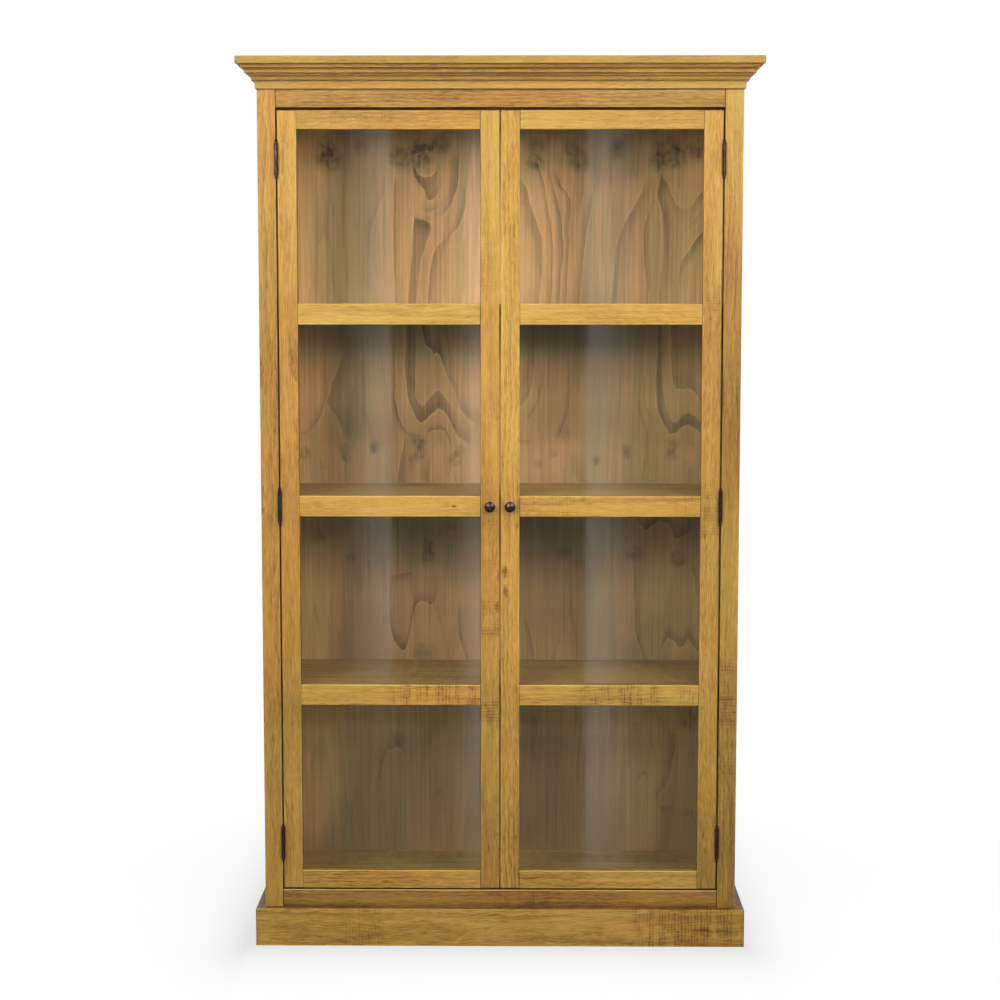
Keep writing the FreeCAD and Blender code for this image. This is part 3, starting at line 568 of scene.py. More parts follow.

# %% [markdown]
# Now each board is cut from the wood. Stiles and sides have upright grain, rails, shelves and the front
# mouldings have level grain, and the mouldings and plinth boards that run back along the sides have grain
# from front to back. Tones, saw marks and knots follow the photograph board by board, and the stiles also
# change along their height, partly as painted light and shade. Shadows under the crown's steps and other
# ledges, in the gaps round the doors and towards the back of the case are painted into the colour, and so
# is a highlight along the upper front edge of some rails.

# %% Boards
UPRIGHT = ("stile", "side_panel")
RUNNING_BACK = ("crown_left_moulding", "crown_right_moulding", "plinth_left_board", "plinth_right_board")
PLAIN_TIMBER = [row["node"] for row in frame["record"]["subparts"] if row["material_slot"] == "honey_wood"]
CROWN_SHADOWS = (
    # Bottom, top, depth and softness of the painted shadow under each step.
    (1.8785, 1.8840, 0.20, 0.0008), (1.8725, 1.8775, 0.16, 0.0008), (1.8610, 1.8670, 0.18, 0.0008),
    (1.8517, 1.8553, 0.18, 0.0008), (1.8520, 1.8760, 0.08, 0.0010)
)
# Painted shadow lines under the crown, on the top of the plinth's sides and along the foot of the bottom rail.
UNDER_CROWN = ((1.8325, 1.8362, 0.26, 0.0008),)
PLINTH_LEDGE = ((0.0790, 0.0840, 0.40, 0.0008),)
OVER_PLINTH = ((0.0, 0.0880, 0.24, 0.012),)
CROWN = {"tone": -0.04, "olive": 0.4, "figure": 0.55, "hollows": CROWN_SHADOWS}
PLINTH_SIDE = {"hollows": PLINTH_LEDGE}
# What each board has of its own. Lengths are in metres. Heights: height, how much lighter and how much
# greener, partly as painted light and shade. Saw: from, to along the grain, and depth. Knots: across, along
# the grain, and radius.
BOARD_NOTES = {
    "left_face_stile": {
        "tone": -0.06, "hollows": UNDER_CROWN, "heights": (
            (0.30, 0.0, 0.1), (0.445, -0.08, 0.1), (0.53, -0.14, 0.0), (0.62, -0.10, -0.2),
            (0.705, -0.02, -0.3), (0.90, -0.07, -0.3), (1.05, -0.11, -0.1), (1.20, -0.17, 0.0),
            (1.48, -0.10, 0.0), (1.65, -0.03, 0.0)
        )
    },
    "right_face_stile": {
        "tone": -0.06, "hollows": UNDER_CROWN, "heights": (
            (0.27, -0.13, 0.1), (0.40, -0.08, 0.1), (0.55, -0.12, 0.1), (0.68, -0.01, 0.1),
            (0.80, 0.0, 0.1), (0.96, -0.15, 0.1), (1.14, -0.25, 0.1), (1.31, -0.21, 0.15),
            (1.48, -0.09, 0.1), (1.65, 0.06, 0.1)
        ),
        "saw": ((0.365, 0.395, 0.6), (0.41, 0.44, 0.5), (0.475, 0.56, 0.9), (0.585, 0.63, 0.6))
    },
    "top_face_rail": {"tone": -0.21, "hollows": UNDER_CROWN},
    "bottom_face_rail": {"tone": -0.22, "saw": ((-0.02, 0.12, 0.4),), "crest": 0.6, "hollows": OVER_PLINTH},
    "crown_top_board": {"tone": -0.14, "olive": 0.6, "figure": 0.7},
    "crown_front_moulding": CROWN,
    "crown_left_moulding": CROWN,
    "crown_right_moulding": CROWN,
    "plinth_front_board": {
        "tone": -0.045, "olive": 0.6, "figure": 1.25, "crest": -0.06,
        "saw": ((0.29, 0.54, 1.0), (-0.35, -0.24, 0.5))
    },
    "plinth_left_board": PLINTH_SIDE,
    "plinth_right_board": PLINTH_SIDE,
    "left_door_top_rail": {"tone": -0.10, "olive": 0.4, "saw": ((-0.40, -0.20, 0.3),)},
    "right_door_top_rail": {"tone": -0.07, "olive": 0.5, "figure": 0.75},
    "left_door_upper_bar": {"olive": 0.45, "crest": 0.10},
    "right_door_upper_bar": {"olive": 0.45, "crest": 0.10},
    "left_door_middle_bar": {"olive": 0.1, "tone": 0.02, "knots": ((0.958, -0.098, 0.003),), "crest": 0.3},
    "right_door_middle_bar": {
        "olive": 0.1, "tone": -0.03, "saw": ((0.04, 0.20, 0.4), (0.36, 0.43, 0.5)), "crest": 0.3
    },
    "left_door_lower_bar": {
        "olive": 0.1, "tone": -0.03, "figure": 1.25, "saw": ((-0.235, -0.04, 1.3),), "crest": 0.26
    },
    "right_door_lower_bar": {
        "olive": 0.3, "tone": 0.02, "figure": 1.3, "crest": 0.26,
        "saw": ((0.18, 0.34, 1.1), (0.38, 0.43, 1.0))
    },
    "left_door_bottom_rail": {"olive": 0.45, "tone": -0.04, "figure": 1.4, "crest": 0.40},
    "right_door_bottom_rail": {"tone": -0.09, "olive": 0.4, "figure": 1.35, "crest": 0.42},
    "left_door_hinge_stile": {
        "olive": 0.2, "heights": (
            (0.30, -0.06, 0.3), (0.42, -0.07, 0.3), (0.53, -0.13, 0.3), (0.70, -0.14, 0.0),
            (0.90, -0.09, -0.6), (1.14, -0.04, -0.6), (1.31, -0.12, -0.5), (1.48, -0.06, 0.0),
            (1.65, -0.01, 0.1)
        )
    },
    "right_door_hinge_stile": {
        "tone": -0.05, "figure": 1.2, "rings": 0.2, "saw": ((0.90, 1.0, 0.5), (1.31, 1.42, 0.3)), "heights": (
            (0.25, -0.15, 0.1), (0.40, -0.11, 0.3), (0.70, -0.06, 0.0), (1.0, -0.07, 0.0),
            (1.6, -0.04, 0.15)
        )
    },
    "left_door_meeting_stile": {
        "olive": 0.4, "figure": 0.85, "heights": (
            (0.15, -0.19, 0.2), (0.35, -0.12, 0.1), (0.60, -0.08, -0.2), (0.96, -0.09, -0.5),
            (1.10, -0.03, -0.5), (1.35, -0.10, 0.1), (1.50, -0.03, 0.3), (1.75, -0.04, 1.0)
        ),
        "saw": ((0.49, 0.55, 0.9), (0.66, 0.76, 0.9), (0.82, 0.93, 0.3), (1.40, 1.62, 0.25))
    },
    "right_door_meeting_stile": {
        "knots": ((0.011, 0.817, 0.007), (0.012, 0.775, 0.006)),
        "figure": 1.3, "heights": (
            (0.15, -0.14, 0.4), (0.35, -0.08, 0.3), (0.49, -0.11, 0.15), (0.65, 0.0, 0.0),
            (0.85, -0.01, -0.2), (0.96, -0.09, -0.3), (1.10, 0.03, -0.2), (1.43, 0.05, 0.0),
            (1.65, -0.08, 0.1)
        )
    },
    "lower_shelf": {"tone": -0.03, "inside": 1.0, "saw": ((-0.30, -0.08, 0.5), (0.05, 0.42, 0.3))},
    "middle_shelf": {"tone": -0.05, "inside": 1.0},
    "upper_shelf": {"tone": -0.05, "inside": 1.0},
    "floor_panel": {"tone": 0.06, "inside": 1.0, "saw": ((-0.40, -0.08, 0.5), (0.05, 0.42, 0.5))},
}
# How much darker a board is made by painted shade in a gap or at the front of the ceiling, at a dark joint
# or in a brown middle, and how wide that shows, in metres.
GAP_SHADE = (0.60, 0.0011)
MEETING_GAP_SHADE = (0.20, 0.0011)
JOINT = (0.36, 0.0020)
DEEP_GAP_SHADE = (0.60, 0.09)
BROWN_HEART = (0.06, 0.30)
HEART_X = -0.11


def shade_and_joint_lines(node):
    """Where a board is darker: painted shade at the gaps round the doors and at the front of the ceiling, a
    dark joint where a rail meets its stiles, and the brown middle of the plinth."""
    low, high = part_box(node)
    if node.startswith(("left_door", "right_door")):
        side = node.split("_door")[0]
        stiles = sorted(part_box(f"{side}_door_{stile}") for stile in ("hinge_stile", "meeting_stile"))
        (left, inner_left), (inner_right, right) = stiles
        gaps = (GAP_SHADE, MEETING_GAP_SHADE) if side == "left" else (MEETING_GAP_SHADE, GAP_SHADE)
        lines = [("X", left[0], *gaps[0]), ("X", right[0], *gaps[1])]
        lines += [("Z", left[2], *GAP_SHADE), ("Z", right[2], *GAP_SHADE)]
        if not node.endswith(UPRIGHT):
            lines += [("X", inner_left[0], *JOINT), ("X", inner_right[0], *JOINT)]
        return lines
    joints = [("X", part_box("left_face_stile")[1][0], *JOINT), ("X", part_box("right_face_stile")[0][0], *JOINT)]
    return {
        "left_face_stile": [("X", high[0], *GAP_SHADE)],
        "right_face_stile": [("X", low[0], *GAP_SHADE)],
        "top_face_rail": [("Z", low[2], *GAP_SHADE), *joints],
        "bottom_face_rail": joints,
        "ceiling_panel": [("Y", low[1], *DEEP_GAP_SHADE)],
        "plinth_front_board": [("X", HEART_X, *BROWN_HEART)],
    }.get(node, [])


for node in PLAIN_TIMBER:
    if node in RUNNING_BACK:
        grain = "y"
    elif node.endswith(UPRIGHT):
        grain = "z"
    else:
        grain = "x"
    dress(node, timber(node, grain, lines=shade_and_joint_lines(node), **BOARD_NOTES.get(node, {})))
print(len(PLAIN_TIMBER), "boards")

# %% [markdown]
# The back is plywood faced with peeled veneer. Peeling cuts along the rings, so they show as contour lines:
# mostly upright, with pointed tongues that hang down or stand up, and small dark knots in rows where
# branches grew. Noise alone gives upright lines but never such tongues. So the clearest ring edges are
# drawn as curves through a few points each, dark on one side with a pale rim on the other, over a ground of
# fine threads and clouds. The lamps alone leave some compartments lighter and others darker than in the
# photograph, so the inner face is made lighter or darker in its colour to make up for that.

# %% Veneer of the back
VENEER = (
    (0.0, (0.100, 0.064, 0.028)),
    (0.30, (0.300, 0.188, 0.085)),
    (0.60, (0.510, 0.318, 0.142)),
    (1.0, (0.800, 0.510, 0.233)),
)
VENEER_OLIVE = (0.90, 1.0, 0.955)
VENEER_RED = (1.04, 0.975, 0.97)
# The tone of plain veneer, and how much clouds, threads, flecks, late rings and knots change it.
VENEER_TONE = 0.69
CLOUD_SHARE = 0.40
THREAD_SHARE = 0.60
FLECK_DARK = 0.08
LATE_DARK = 0.09
VENEER_KNOT_DARK = 0.40
# Painted light makes the veneer lighter further up: its tone at the foot, how much more at the top, and
# both heights.
FOOT_LIGHT = 0.64
TOP_MORE_LIGHT = 0.62
FOOT_HEIGHT = 0.45
TOP_HEIGHT = 2.0
# How far swirls and jitter bend the figure across and along, in metres.
SWIRL = (0.010, 0.020)
JITTER = (0.003, 0.006)
# A knot's dark spreads over this many of its radii across and along.
KNOT_SPREAD = (1.9, 1.8)
# The tone across a ring's edge, from its pale side to where its dark side has faded. Half is no change.
RING_PROFILE = (
    (0.0, 0.5), (0.09, 0.55), (0.19, 0.70), (0.215, 0.08), (0.30, 0.04), (0.55, 0.20), (0.80, 0.40),
    (1.0, 0.5),
)
# Where the edge itself lies on that profile, how many millimetres past its ends a ring fades, and how much
# a darkness of one changes the tone.
RING_EDGE = 0.2
RING_FADE = 14
RING_DEPTH = 0.0138
# Ring edges that run upright: the dark side (1 right, -1 left), how far the dark reaches, and the points
# from the top down: height, place across, and darkness. Lengths of rings, patches and knots are in
# millimetres.
UPRIGHT_RINGS = (
    # Top left pane.
    (1, 14, (1690, -240, 0), (1650, -243, 26), (1600, -244, 30), (1520, -245, 28), (1440, -244, 18),
        (1385, -243, 14)),
    (1, 40, (1590, -197, 0), (1575, -199, 24), (1540, -201, 22), (1500, -203, 18), (1450, -207, 16),
        (1385, -213, 14)),
    (-1, 40, (1590, -163, 0), (1572, -160, 14), (1545, -163, 14), (1515, -172, 16), (1490, -180, 14),
        (1450, -187, 12), (1385, -195, 10)),
    (1, 30, (1550, -118, 0), (1530, -132, 10), (1510, -150, 16), (1480, -159, 20), (1450, -163, 20),
        (1385, -168, 16)),
    (-1, 22, (1740, -93, 0), (1700, -96, 22), (1660, -98, 22), (1630, -106, 20), (1605, -118, 16),
        (1588, -133, 10), (1575, -152, 0)),
    (-1, 18, (1680, -76, 0), (1640, -80, 14), (1600, -84, 18), (1575, -90, 18), (1555, -101, 16),
        (1540, -116, 10), (1528, -132, 0)),
    (1, 12, (1560, -82, 0), (1520, -88, 10), (1470, -91, 12), (1430, -93, 10), (1385, -97, 8)),
    (1, 10, (1700, -66, 0), (1640, -68, 8), (1580, -73, 8), (1500, -79, 0)),
    (1, 8, (1560, -437, 0), (1500, -436, 10), (1440, -436, 10), (1385, -437, 8)),
    (1, 8, (1620, -396, 0), (1600, -396, 10), (1500, -397, 8), (1385, -396, 10)),
    (1, 8, (1620, -381, 0), (1602, -381, 14), (1580, -381, 6), (1500, -384, 4), (1385, -386, 6)),
    (-1, 20, (1680, -258, 0), (1650, -261, 10), (1610, -272, 12), (1575, -288, 12), (1545, -297, 10),
        (1500, -300, 8), (1385, -301, 6)),
    # Top right pane.
    (-1, 14, (1712, 78, 0), (1695, 83, 20), (1670, 92, 22), (1610, 103, 22), (1550, 114, 22),
        (1500, 118, 20), (1450, 116, 18), (1385, 112, 14)),
    (-1, 14, (1700, 105, 0), (1680, 110, 14), (1640, 120, 18), (1600, 131, 22), (1560, 138, 22),
        (1500, 139, 22), (1450, 135, 20), (1385, 131, 14)),
    (-1, 14, (1700, 120, 0), (1670, 128, 18), (1648, 138, 24), (1630, 151, 24), (1612, 156, 22),
        (1570, 153, 18), (1500, 152, 20), (1385, 147, 14)),
    (-1, 16, (1710, 186, 0), (1680, 187, 12), (1640, 186, 14), (1600, 182, 4), (1580, 180, 0)),
    (-1, 22, (1640, 208, 0), (1615, 206, 16), (1585, 200, 18), (1555, 194, 18), (1510, 189, 18),
        (1450, 182, 14), (1385, 177, 10)),
    (-1, 50, (1680, 40, 0), (1660, 49, 14), (1640, 58, 18), (1600, 70, 18), (1565, 80, 18), (1540, 89, 18),
        (1500, 92, 16), (1385, 86, 12)),
    (1, 45, (1690, 326, 0), (1650, 320, 12), (1620, 306, 16), (1590, 290, 16), (1560, 274, 14),
        (1520, 261, 12), (1470, 256, 12), (1385, 246, 8)),
    (1, 14, (1680, 350, 0), (1640, 342, 6), (1600, 334, 10), (1570, 325, 14), (1530, 321, 18),
        (1490, 322, 16), (1450, 326, 12), (1385, 329, 8)),
    (1, 30, (1690, 357, 0), (1665, 356, 16), (1635, 352, 24), (1612, 355, 22), (1590, 362, 20),
        (1550, 363, 14), (1500, 364, 12), (1450, 360, 12), (1385, 356, 10)),
    # Second row.
    (-1, 16, (1335, -239, 16), (1270, -240, 22), (1210, -241, 22), (1170, -241, 22), (1140, -236, 24),
        (1115, -228, 24), (1098, -219, 22), (1088, -212, 0)),
    (1, 30, (1335, -217, 26), (1280, -218, 28), (1230, -219, 28), (1200, -217, 26), (1170, -213, 20),
        (1150, -206, 8), (1135, -199, 0)),
    (-1, 30, (1335, -196, 12), (1260, -196, 14), (1210, -197, 14), (1185, -196, 8), (1165, -189, 0)),
    (-1, 25, (1335, -124, 20), (1310, -120, 16), (1280, -114, 10), (1250, -107, 4), (1225, -102, 0)),
    (1, 34, (1098, -221, 0), (1080, -223, 12), (1060, -226, 14), (1040, -230, 16), (1000, -236, 18),
        (972, -241, 16)),
    (-1, 30, (1050, -160, 0), (1030, -162, 10), (1015, -162, 14), (995, -164, 16), (972, -160, 12)),
    (1, 14, (1060, -112, 0), (1020, -116, 8), (990, -110, 10), (972, -106, 8)),
    (1, 55, (1320, -350, 0), (1285, -361, 10), (1245, -369, 14), (1225, -378, 16), (1205, -385, 18),
        (1185, -391, 16), (1162, -398, 16), (1150, -391, 14), (1138, -382, 16), (1122, -374, 16),
        (1105, -369, 16), (1088, -363, 12), (1070, -359, 0)),
    (-1, 20, (1330, -401, 6), (1270, -400, 8), (1220, -398, 10), (1195, -394, 10), (1165, -399, 12),
        (1148, -405, 14), (1130, -412, 16), (1115, -421, 14), (1103, -431, 12), (1092, -446, 8),
        (1085, -460, 0)),
    (-1, 16, (1180, -316, 0), (1150, -310, 8), (1125, -303, 10), (1105, -298, 8), (1085, -292, 6),
        (1070, -288, 0)),
    (1, 22, (1335, 352, 14), (1280, 355, 18), (1240, 352, 20), (1200, 350, 22), (1170, 352, 22),
        (1150, 356, 18), (1130, 363, 8), (1118, 368, 0)),
    (-1, 16, (1335, 366, 10), (1250, 365, 14), (1200, 367, 16), (1175, 371, 12), (1150, 378, 0)),
    (1, 40, (1335, 385, 12), (1270, 386, 14), (1220, 388, 10), (1200, 394, 0)),
    (-1, 12, (1260, 318, 0), (1200, 317, 8), (1150, 317, 12), (1125, 324, 14), (1105, 333, 14),
        (1050, 336, 12), (1025, 334, 12), (1000, 328, 12), (972, 322, 8)),
    (-1, 12, (1300, 335, 0), (1240, 333, 8), (1180, 331, 8), (1150, 334, 8), (1125, 344, 8),
        (1100, 352, 0)),
    (-1, 30, (1335, 77, 8), (1270, 75, 12), (1220, 72, 14), (1190, 65, 16), (1168, 57, 14), (1153, 44, 12),
        (1148, 36, 6)),
    (-1, 14, (1260, 100, 0), (1220, 97, 10), (1180, 91, 12), (1150, 79, 14), (1132, 68, 14), (1120, 55, 10),
        (1116, 40, 6)),
    (-1, 12, (1300, 113, 0), (1230, 112, 8), (1190, 104, 8), (1165, 93, 0)),
    (-1, 14, (1300, 157, 0), (1230, 156, 10), (1170, 157, 12), (1140, 152, 14), (1115, 144, 18),
        (1098, 138, 20), (1085, 132, 0)),
    (-1, 10, (1030, 136, 0), (1005, 143, 8), (972, 147, 6)),
    # Third row.
    (1, 25, (775, -257, 0), (750, -258, 16), (700, -258, 18), (660, -257, 23), (635, -254, 23),
        (618, -250, 16), (606, -243, 0)),
    (1, 16, (720, -100, 0), (690, -100, 13), (650, -99, 18), (620, -97, 21), (600, -92, 21), (580, -86, 16),
        (560, -80, 10)),
    (1, 10, (700, -147, 0), (680, -146, 8), (650, -141, 10), (610, -138, 8), (580, -137, 0)),
    (1, 10, (715, -435, 0), (690, -433, 10), (665, -427, 13), (640, -424, 10), (615, -421, 8),
        (590, -419, 0)),
    (1, 10, (650, -386, 0), (625, -379, 10), (605, -375, 10), (580, -371, 0)),
    (1, 16, (800, 302, 0), (770, 305, 13), (700, 307, 16), (650, 307, 18), (620, 312, 18), (590, 321, 16),
        (565, 329, 10)),
    (-1, 12, (730, 160, 0), (700, 164, 10), (670, 168, 13), (640, 172, 13), (610, 177, 10), (580, 181, 0)),
    (-1, 12, (640, 139, 0), (620, 136, 10), (600, 131, 13), (575, 126, 13), (560, 123, 8)),
    (-1, 16, (680, 58, 0), (650, 62, 13), (620, 70, 16), (590, 75, 16), (565, 78, 10)),
    (1, 18, (810, 420, 0), (790, 430, 10), (770, 440, 13), (720, 447, 13), (690, 454, 0)),
    # Bottom row.
    (1, 8, (260, -386, 0), (235, -382, 10), (210, -377, 10), (190, -372, 0)),
    (1, 8, (240, -366, 0), (220, -360, 10), (200, -353, 10), (185, -348, 0)),
    (-1, 25, (420, 405, 0), (380, 404, 13), (340, 399, 16), (305, 393, 16), (280, 384, 16), (262, 374, 16),
        (248, 366, 13), (238, 363, 0)),
    (-1, 40, (450, 70, 0), (430, 82, 13), (400, 84, 16), (370, 79, 16), (345, 82, 13), (325, 93, 10),
        (310, 106, 0)),
    (1, 8, (420, 343, 0), (400, 343, 16), (370, 345, 16), (350, 346, 0)),
    (1, 14, (440, 182, 0), (400, 178, 13), (350, 175, 13), (300, 172, 10), (260, 172, 0)),
)
# Ring edges that run across: the dark side (1 above, -1 below), how far the dark reaches, and the points
# from left to right: place across, height, and darkness.
LEVEL_RINGS = (
    # Top left pane.
    (-1, 45, (-205, 1570, 0), (-196, 1579, 12), (-185, 1577, 18), (-172, 1574, 18), (-160, 1566, 10),
        (-152, 1560, 0)),
    (-1, 45, (-205, 1712, 0), (-196, 1692, 20), (-186, 1676, 26), (-172, 1671, 24), (-158, 1672, 20),
        (-147, 1688, 14), (-140, 1712, 0)),
    (1, 40, (-212, 1700, 0), (-200, 1682, 14), (-186, 1656, 20), (-174, 1636, 22), (-163, 1619, 22),
        (-152, 1626, 14), (-140, 1640, 8), (-128, 1658, 0)),
    (1, 20, (-190, 1612, 0), (-176, 1598, 8), (-163, 1592, 10), (-148, 1597, 8), (-130, 1612, 4),
        (-118, 1630, 0)),
    # Top right pane.
    (-1, 40, (352, 1690, 0), (362, 1672, 14), (376, 1652, 18), (388, 1622, 16), (400, 1606, 12),
        (415, 1600, 8), (430, 1606, 12), (442, 1622, 18), (454, 1640, 20), (465, 1652, 10)),
    (-1, 18, (405, 1553, 0), (420, 1564, 6), (438, 1580, 8), (456, 1602, 8)),
    (-1, 40, (396, 1420, 0), (402, 1455, 10), (410, 1485, 14), (422, 1503, 18), (436, 1526, 26),
        (448, 1543, 26), (460, 1556, 20)),
    # Second row.
    (1, 42, (-214, 1172, 0), (-208, 1155, 10), (-201, 1138, 22), (-193, 1124, 28), (-184, 1118, 30),
        (-173, 1121, 30), (-163, 1132, 30), (-154, 1141, 30), (-145, 1146, 30), (-134, 1143, 28),
        (-125, 1134, 26), (-117, 1119, 24), (-109, 1103, 22), (-100, 1087, 20), (-88, 1076, 16),
        (-74, 1068, 10), (-60, 1062, 0)),
    (-1, 42, (-199, 1190, 0), (-194, 1172, 12), (-186, 1160, 16), (-178, 1157, 16), (-168, 1168, 16),
        (-157, 1178, 18), (-147, 1187, 20), (-138, 1183, 18), (-128, 1174, 14), (-118, 1160, 8),
        (-108, 1142, 0)),
    (1, 55, (-182, 1335, 20), (-178, 1320, 30), (-175, 1300, 34), (-168, 1289, 34), (-160, 1281, 34),
        (-155, 1270, 34), (-150, 1275, 34), (-143, 1271, 34), (-135, 1259, 32), (-129, 1246, 24),
        (-123, 1222, 14), (-116, 1206, 12), (-104, 1180, 12), (-99, 1158, 14), (-93, 1145, 16),
        (-84, 1134, 16), (-70, 1120, 14), (-55, 1108, 10)),
    (1, 18, (-176, 1080, 0), (-168, 1090, 16), (-155, 1098, 22), (-142, 1102, 24), (-131, 1096, 24),
        (-123, 1081, 22), (-116, 1064, 18), (-113, 1040, 12), (-111, 1010, 0)),
    (1, 14, (-226, 1096, 0), (-215, 1087, 14), (-203, 1082, 16), (-190, 1084, 14), (-178, 1092, 0)),
    (-1, 14, (-425, 1040, 0), (-418, 1026, 8), (-408, 1016, 10), (-398, 1020, 8), (-388, 1034, 0)),
    (1, 36, (353, 1165, 0), (358, 1142, 14), (366, 1120, 24), (375, 1103, 28), (386, 1092, 28),
        (396, 1092, 28), (406, 1101, 26), (416, 1108, 26), (428, 1110, 26), (438, 1106, 24),
        (448, 1098, 22), (460, 1092, 16)),
    (-1, 36, (368, 1180, 0), (374, 1156, 8), (381, 1136, 12), (388, 1121, 16), (396, 1118, 16),
        (405, 1126, 16), (416, 1135, 16), (430, 1138, 16), (441, 1132, 14), (452, 1121, 12),
        (462, 1112, 8)),
    (1, 50, (386, 1240, 0), (389, 1212, 12), (395, 1198, 18), (409, 1193, 20), (424, 1196, 18),
        (435, 1191, 18), (443, 1180, 16), (453, 1165, 14), (462, 1155, 8)),
    (-1, 16, (30, 1081, 0), (38, 1080, 14), (50, 1077, 14), (62, 1077, 12), (76, 1086, 0)),
    # Third row.
    (1, 40, (-253, 640, 0), (-249, 618, 16), (-241, 605, 26), (-233, 592, 31), (-228, 588, 34),
        (-222, 590, 31), (-218, 600, 29), (-214, 620, 26), (-210, 640, 23), (-205, 665, 23),
        (-199, 685, 23), (-191, 699, 23), (-181, 703, 23), (-171, 698, 23), (-163, 695, 21),
        (-155, 701, 18), (-150, 715, 13), (-146, 735, 0)),
    (-1, 25, (-262, 760, 0), (-250, 766, 13), (-235, 768, 16), (-220, 771, 16), (-208, 775, 13),
        (-199, 766, 0)),
    (-1, 8, (-318, 887, 0), (-312, 884, 31), (-303, 878, 31), (-298, 875, 0)),
    (1, 20, (-150, 840, 0), (-140, 862, 10), (-125, 875, 13), (-110, 872, 13), (-103, 860, 8),
        (-100, 845, 0)),
    (1, 40, (362, 560, 0), (369, 578, 10), (376, 602, 21), (386, 619, 23), (393, 615, 23), (402, 606, 26),
        (411, 599, 26), (418, 600, 26), (425, 612, 26), (432, 618, 26), (438, 609, 26), (444, 598, 23),
        (452, 588, 18), (462, 578, 10)),
    (1, 40, (305, 902, 8), (317, 883, 18), (330, 873, 23), (342, 879, 23), (354, 886, 21), (368, 888, 21),
        (381, 885, 21), (389, 873, 21), (394, 857, 23), (401, 850, 23), (411, 853, 21), (422, 859, 18),
        (434, 867, 10), (444, 880, 0)),
    # Bottom row.
    (1, 30, (-296, 240, 0), (-290, 262, 16), (-284, 288, 21), (-279, 312, 21), (-272, 335, 18),
        (-263, 354, 16), (-254, 356, 16), (-242, 365, 18), (-231, 358, 16), (-223, 342, 10),
        (-216, 318, 0)),
    (1, 20, (-160, 190, 0), (-157, 226, 10), (-153, 247, 13), (-146, 253, 13), (-138, 248, 13),
        (-132, 232, 10), (-126, 200, 0)),
    (-1, 20, (362, 236, 0), (368, 229, 13), (379, 225, 16), (391, 228, 13), (401, 237, 8), (409, 255, 0)),
    (1, 22, (308, 255, 0), (314, 278, 13), (322, 292, 16), (333, 298, 16), (340, 286, 10), (343, 265, 0)),
    (1, 16, (418, 170, 0), (425, 188, 13), (433, 202, 16), (440, 204, 16), (447, 190, 13), (455, 176, 10),
        (462, 168, 5)),
)
# Soft patches: across, height, half width, half height, how much lighter, and how much greener.
PATCHES = (
    (-375, 1728, 80, 55, -0.15, 0.25), (-190, 1724, 80, 55, -0.15, 0.25), (-135, 1740, 35, 30, -0.04, 0.2),
    (-370, 1550, 90, 280, -0.02, 0.4), (80, 1720, 40, 45, -0.12, 0.2), (170, 1720, 50, 45, -0.12, 0.25),
    (262, 1735, 40, 40, -0.12, 0.2), (380, 1722, 75, 50, -0.14, 0.3), (435, 1725, 30, 30, -0.08, 0.15),
    (400, 1500, 60, 200, 0.0, 0.35), (120, 1550, 80, 250, 0.02, -0.35), (-345, 1200, 55, 130, -0.08, 0.35),
    (-215, 1000, 22, 45, -0.06, 0.1), (430, 1260, 50, 60, -0.05, 0.1), (120, 1120, 90, 120, 0.03, -0.35),
    (433, 1040, 12, 26, 0.14, -0.35), (165, 1070, 22, 28, 0.06, -0.25), (250, 1075, 22, 24, 0.04, 0.0),
    (-310, 750, 60, 150, -0.03, 0.35), (-180, 835, 70, 55, -0.14, 0.25), (-170, 640, 50, 50, 0.05, -0.4),
    (-100, 620, 50, 80, 0.02, -0.3), (120, 680, 80, 140, 0.03, -0.35), (380, 800, 70, 100, 0.0, 0.25),
    (410, 590, 40, 25, 0.06, -0.25), (-160, 180, 70, 100, 0.05, -0.3), (-330, 300, 80, 150, -0.02, 0.3),
    (100, 180, 60, 100, 0.05, -0.35), (390, 380, 70, 60, 0.0, 0.3), (-170, 1550, 80, 200, 0.0, -0.35),
    (-200, 1110, 80, 200, 0.0, -0.4), (-230, 670, 140, 150, 0.0, -0.35), (380, 1100, 120, 260, 0.0, 0.4),
    (390, 680, 100, 180, 0.0, 0.3), (370, 250, 100, 150, 0.0, 0.35), (80, 660, 110, 150, 0.0, -0.45),
    (80, 190, 110, 130, 0.0, -0.45), (80, 1120, 90, 200, 0.0, -0.35), (380, 1100, 100, 120, 0.0, -0.2),
)
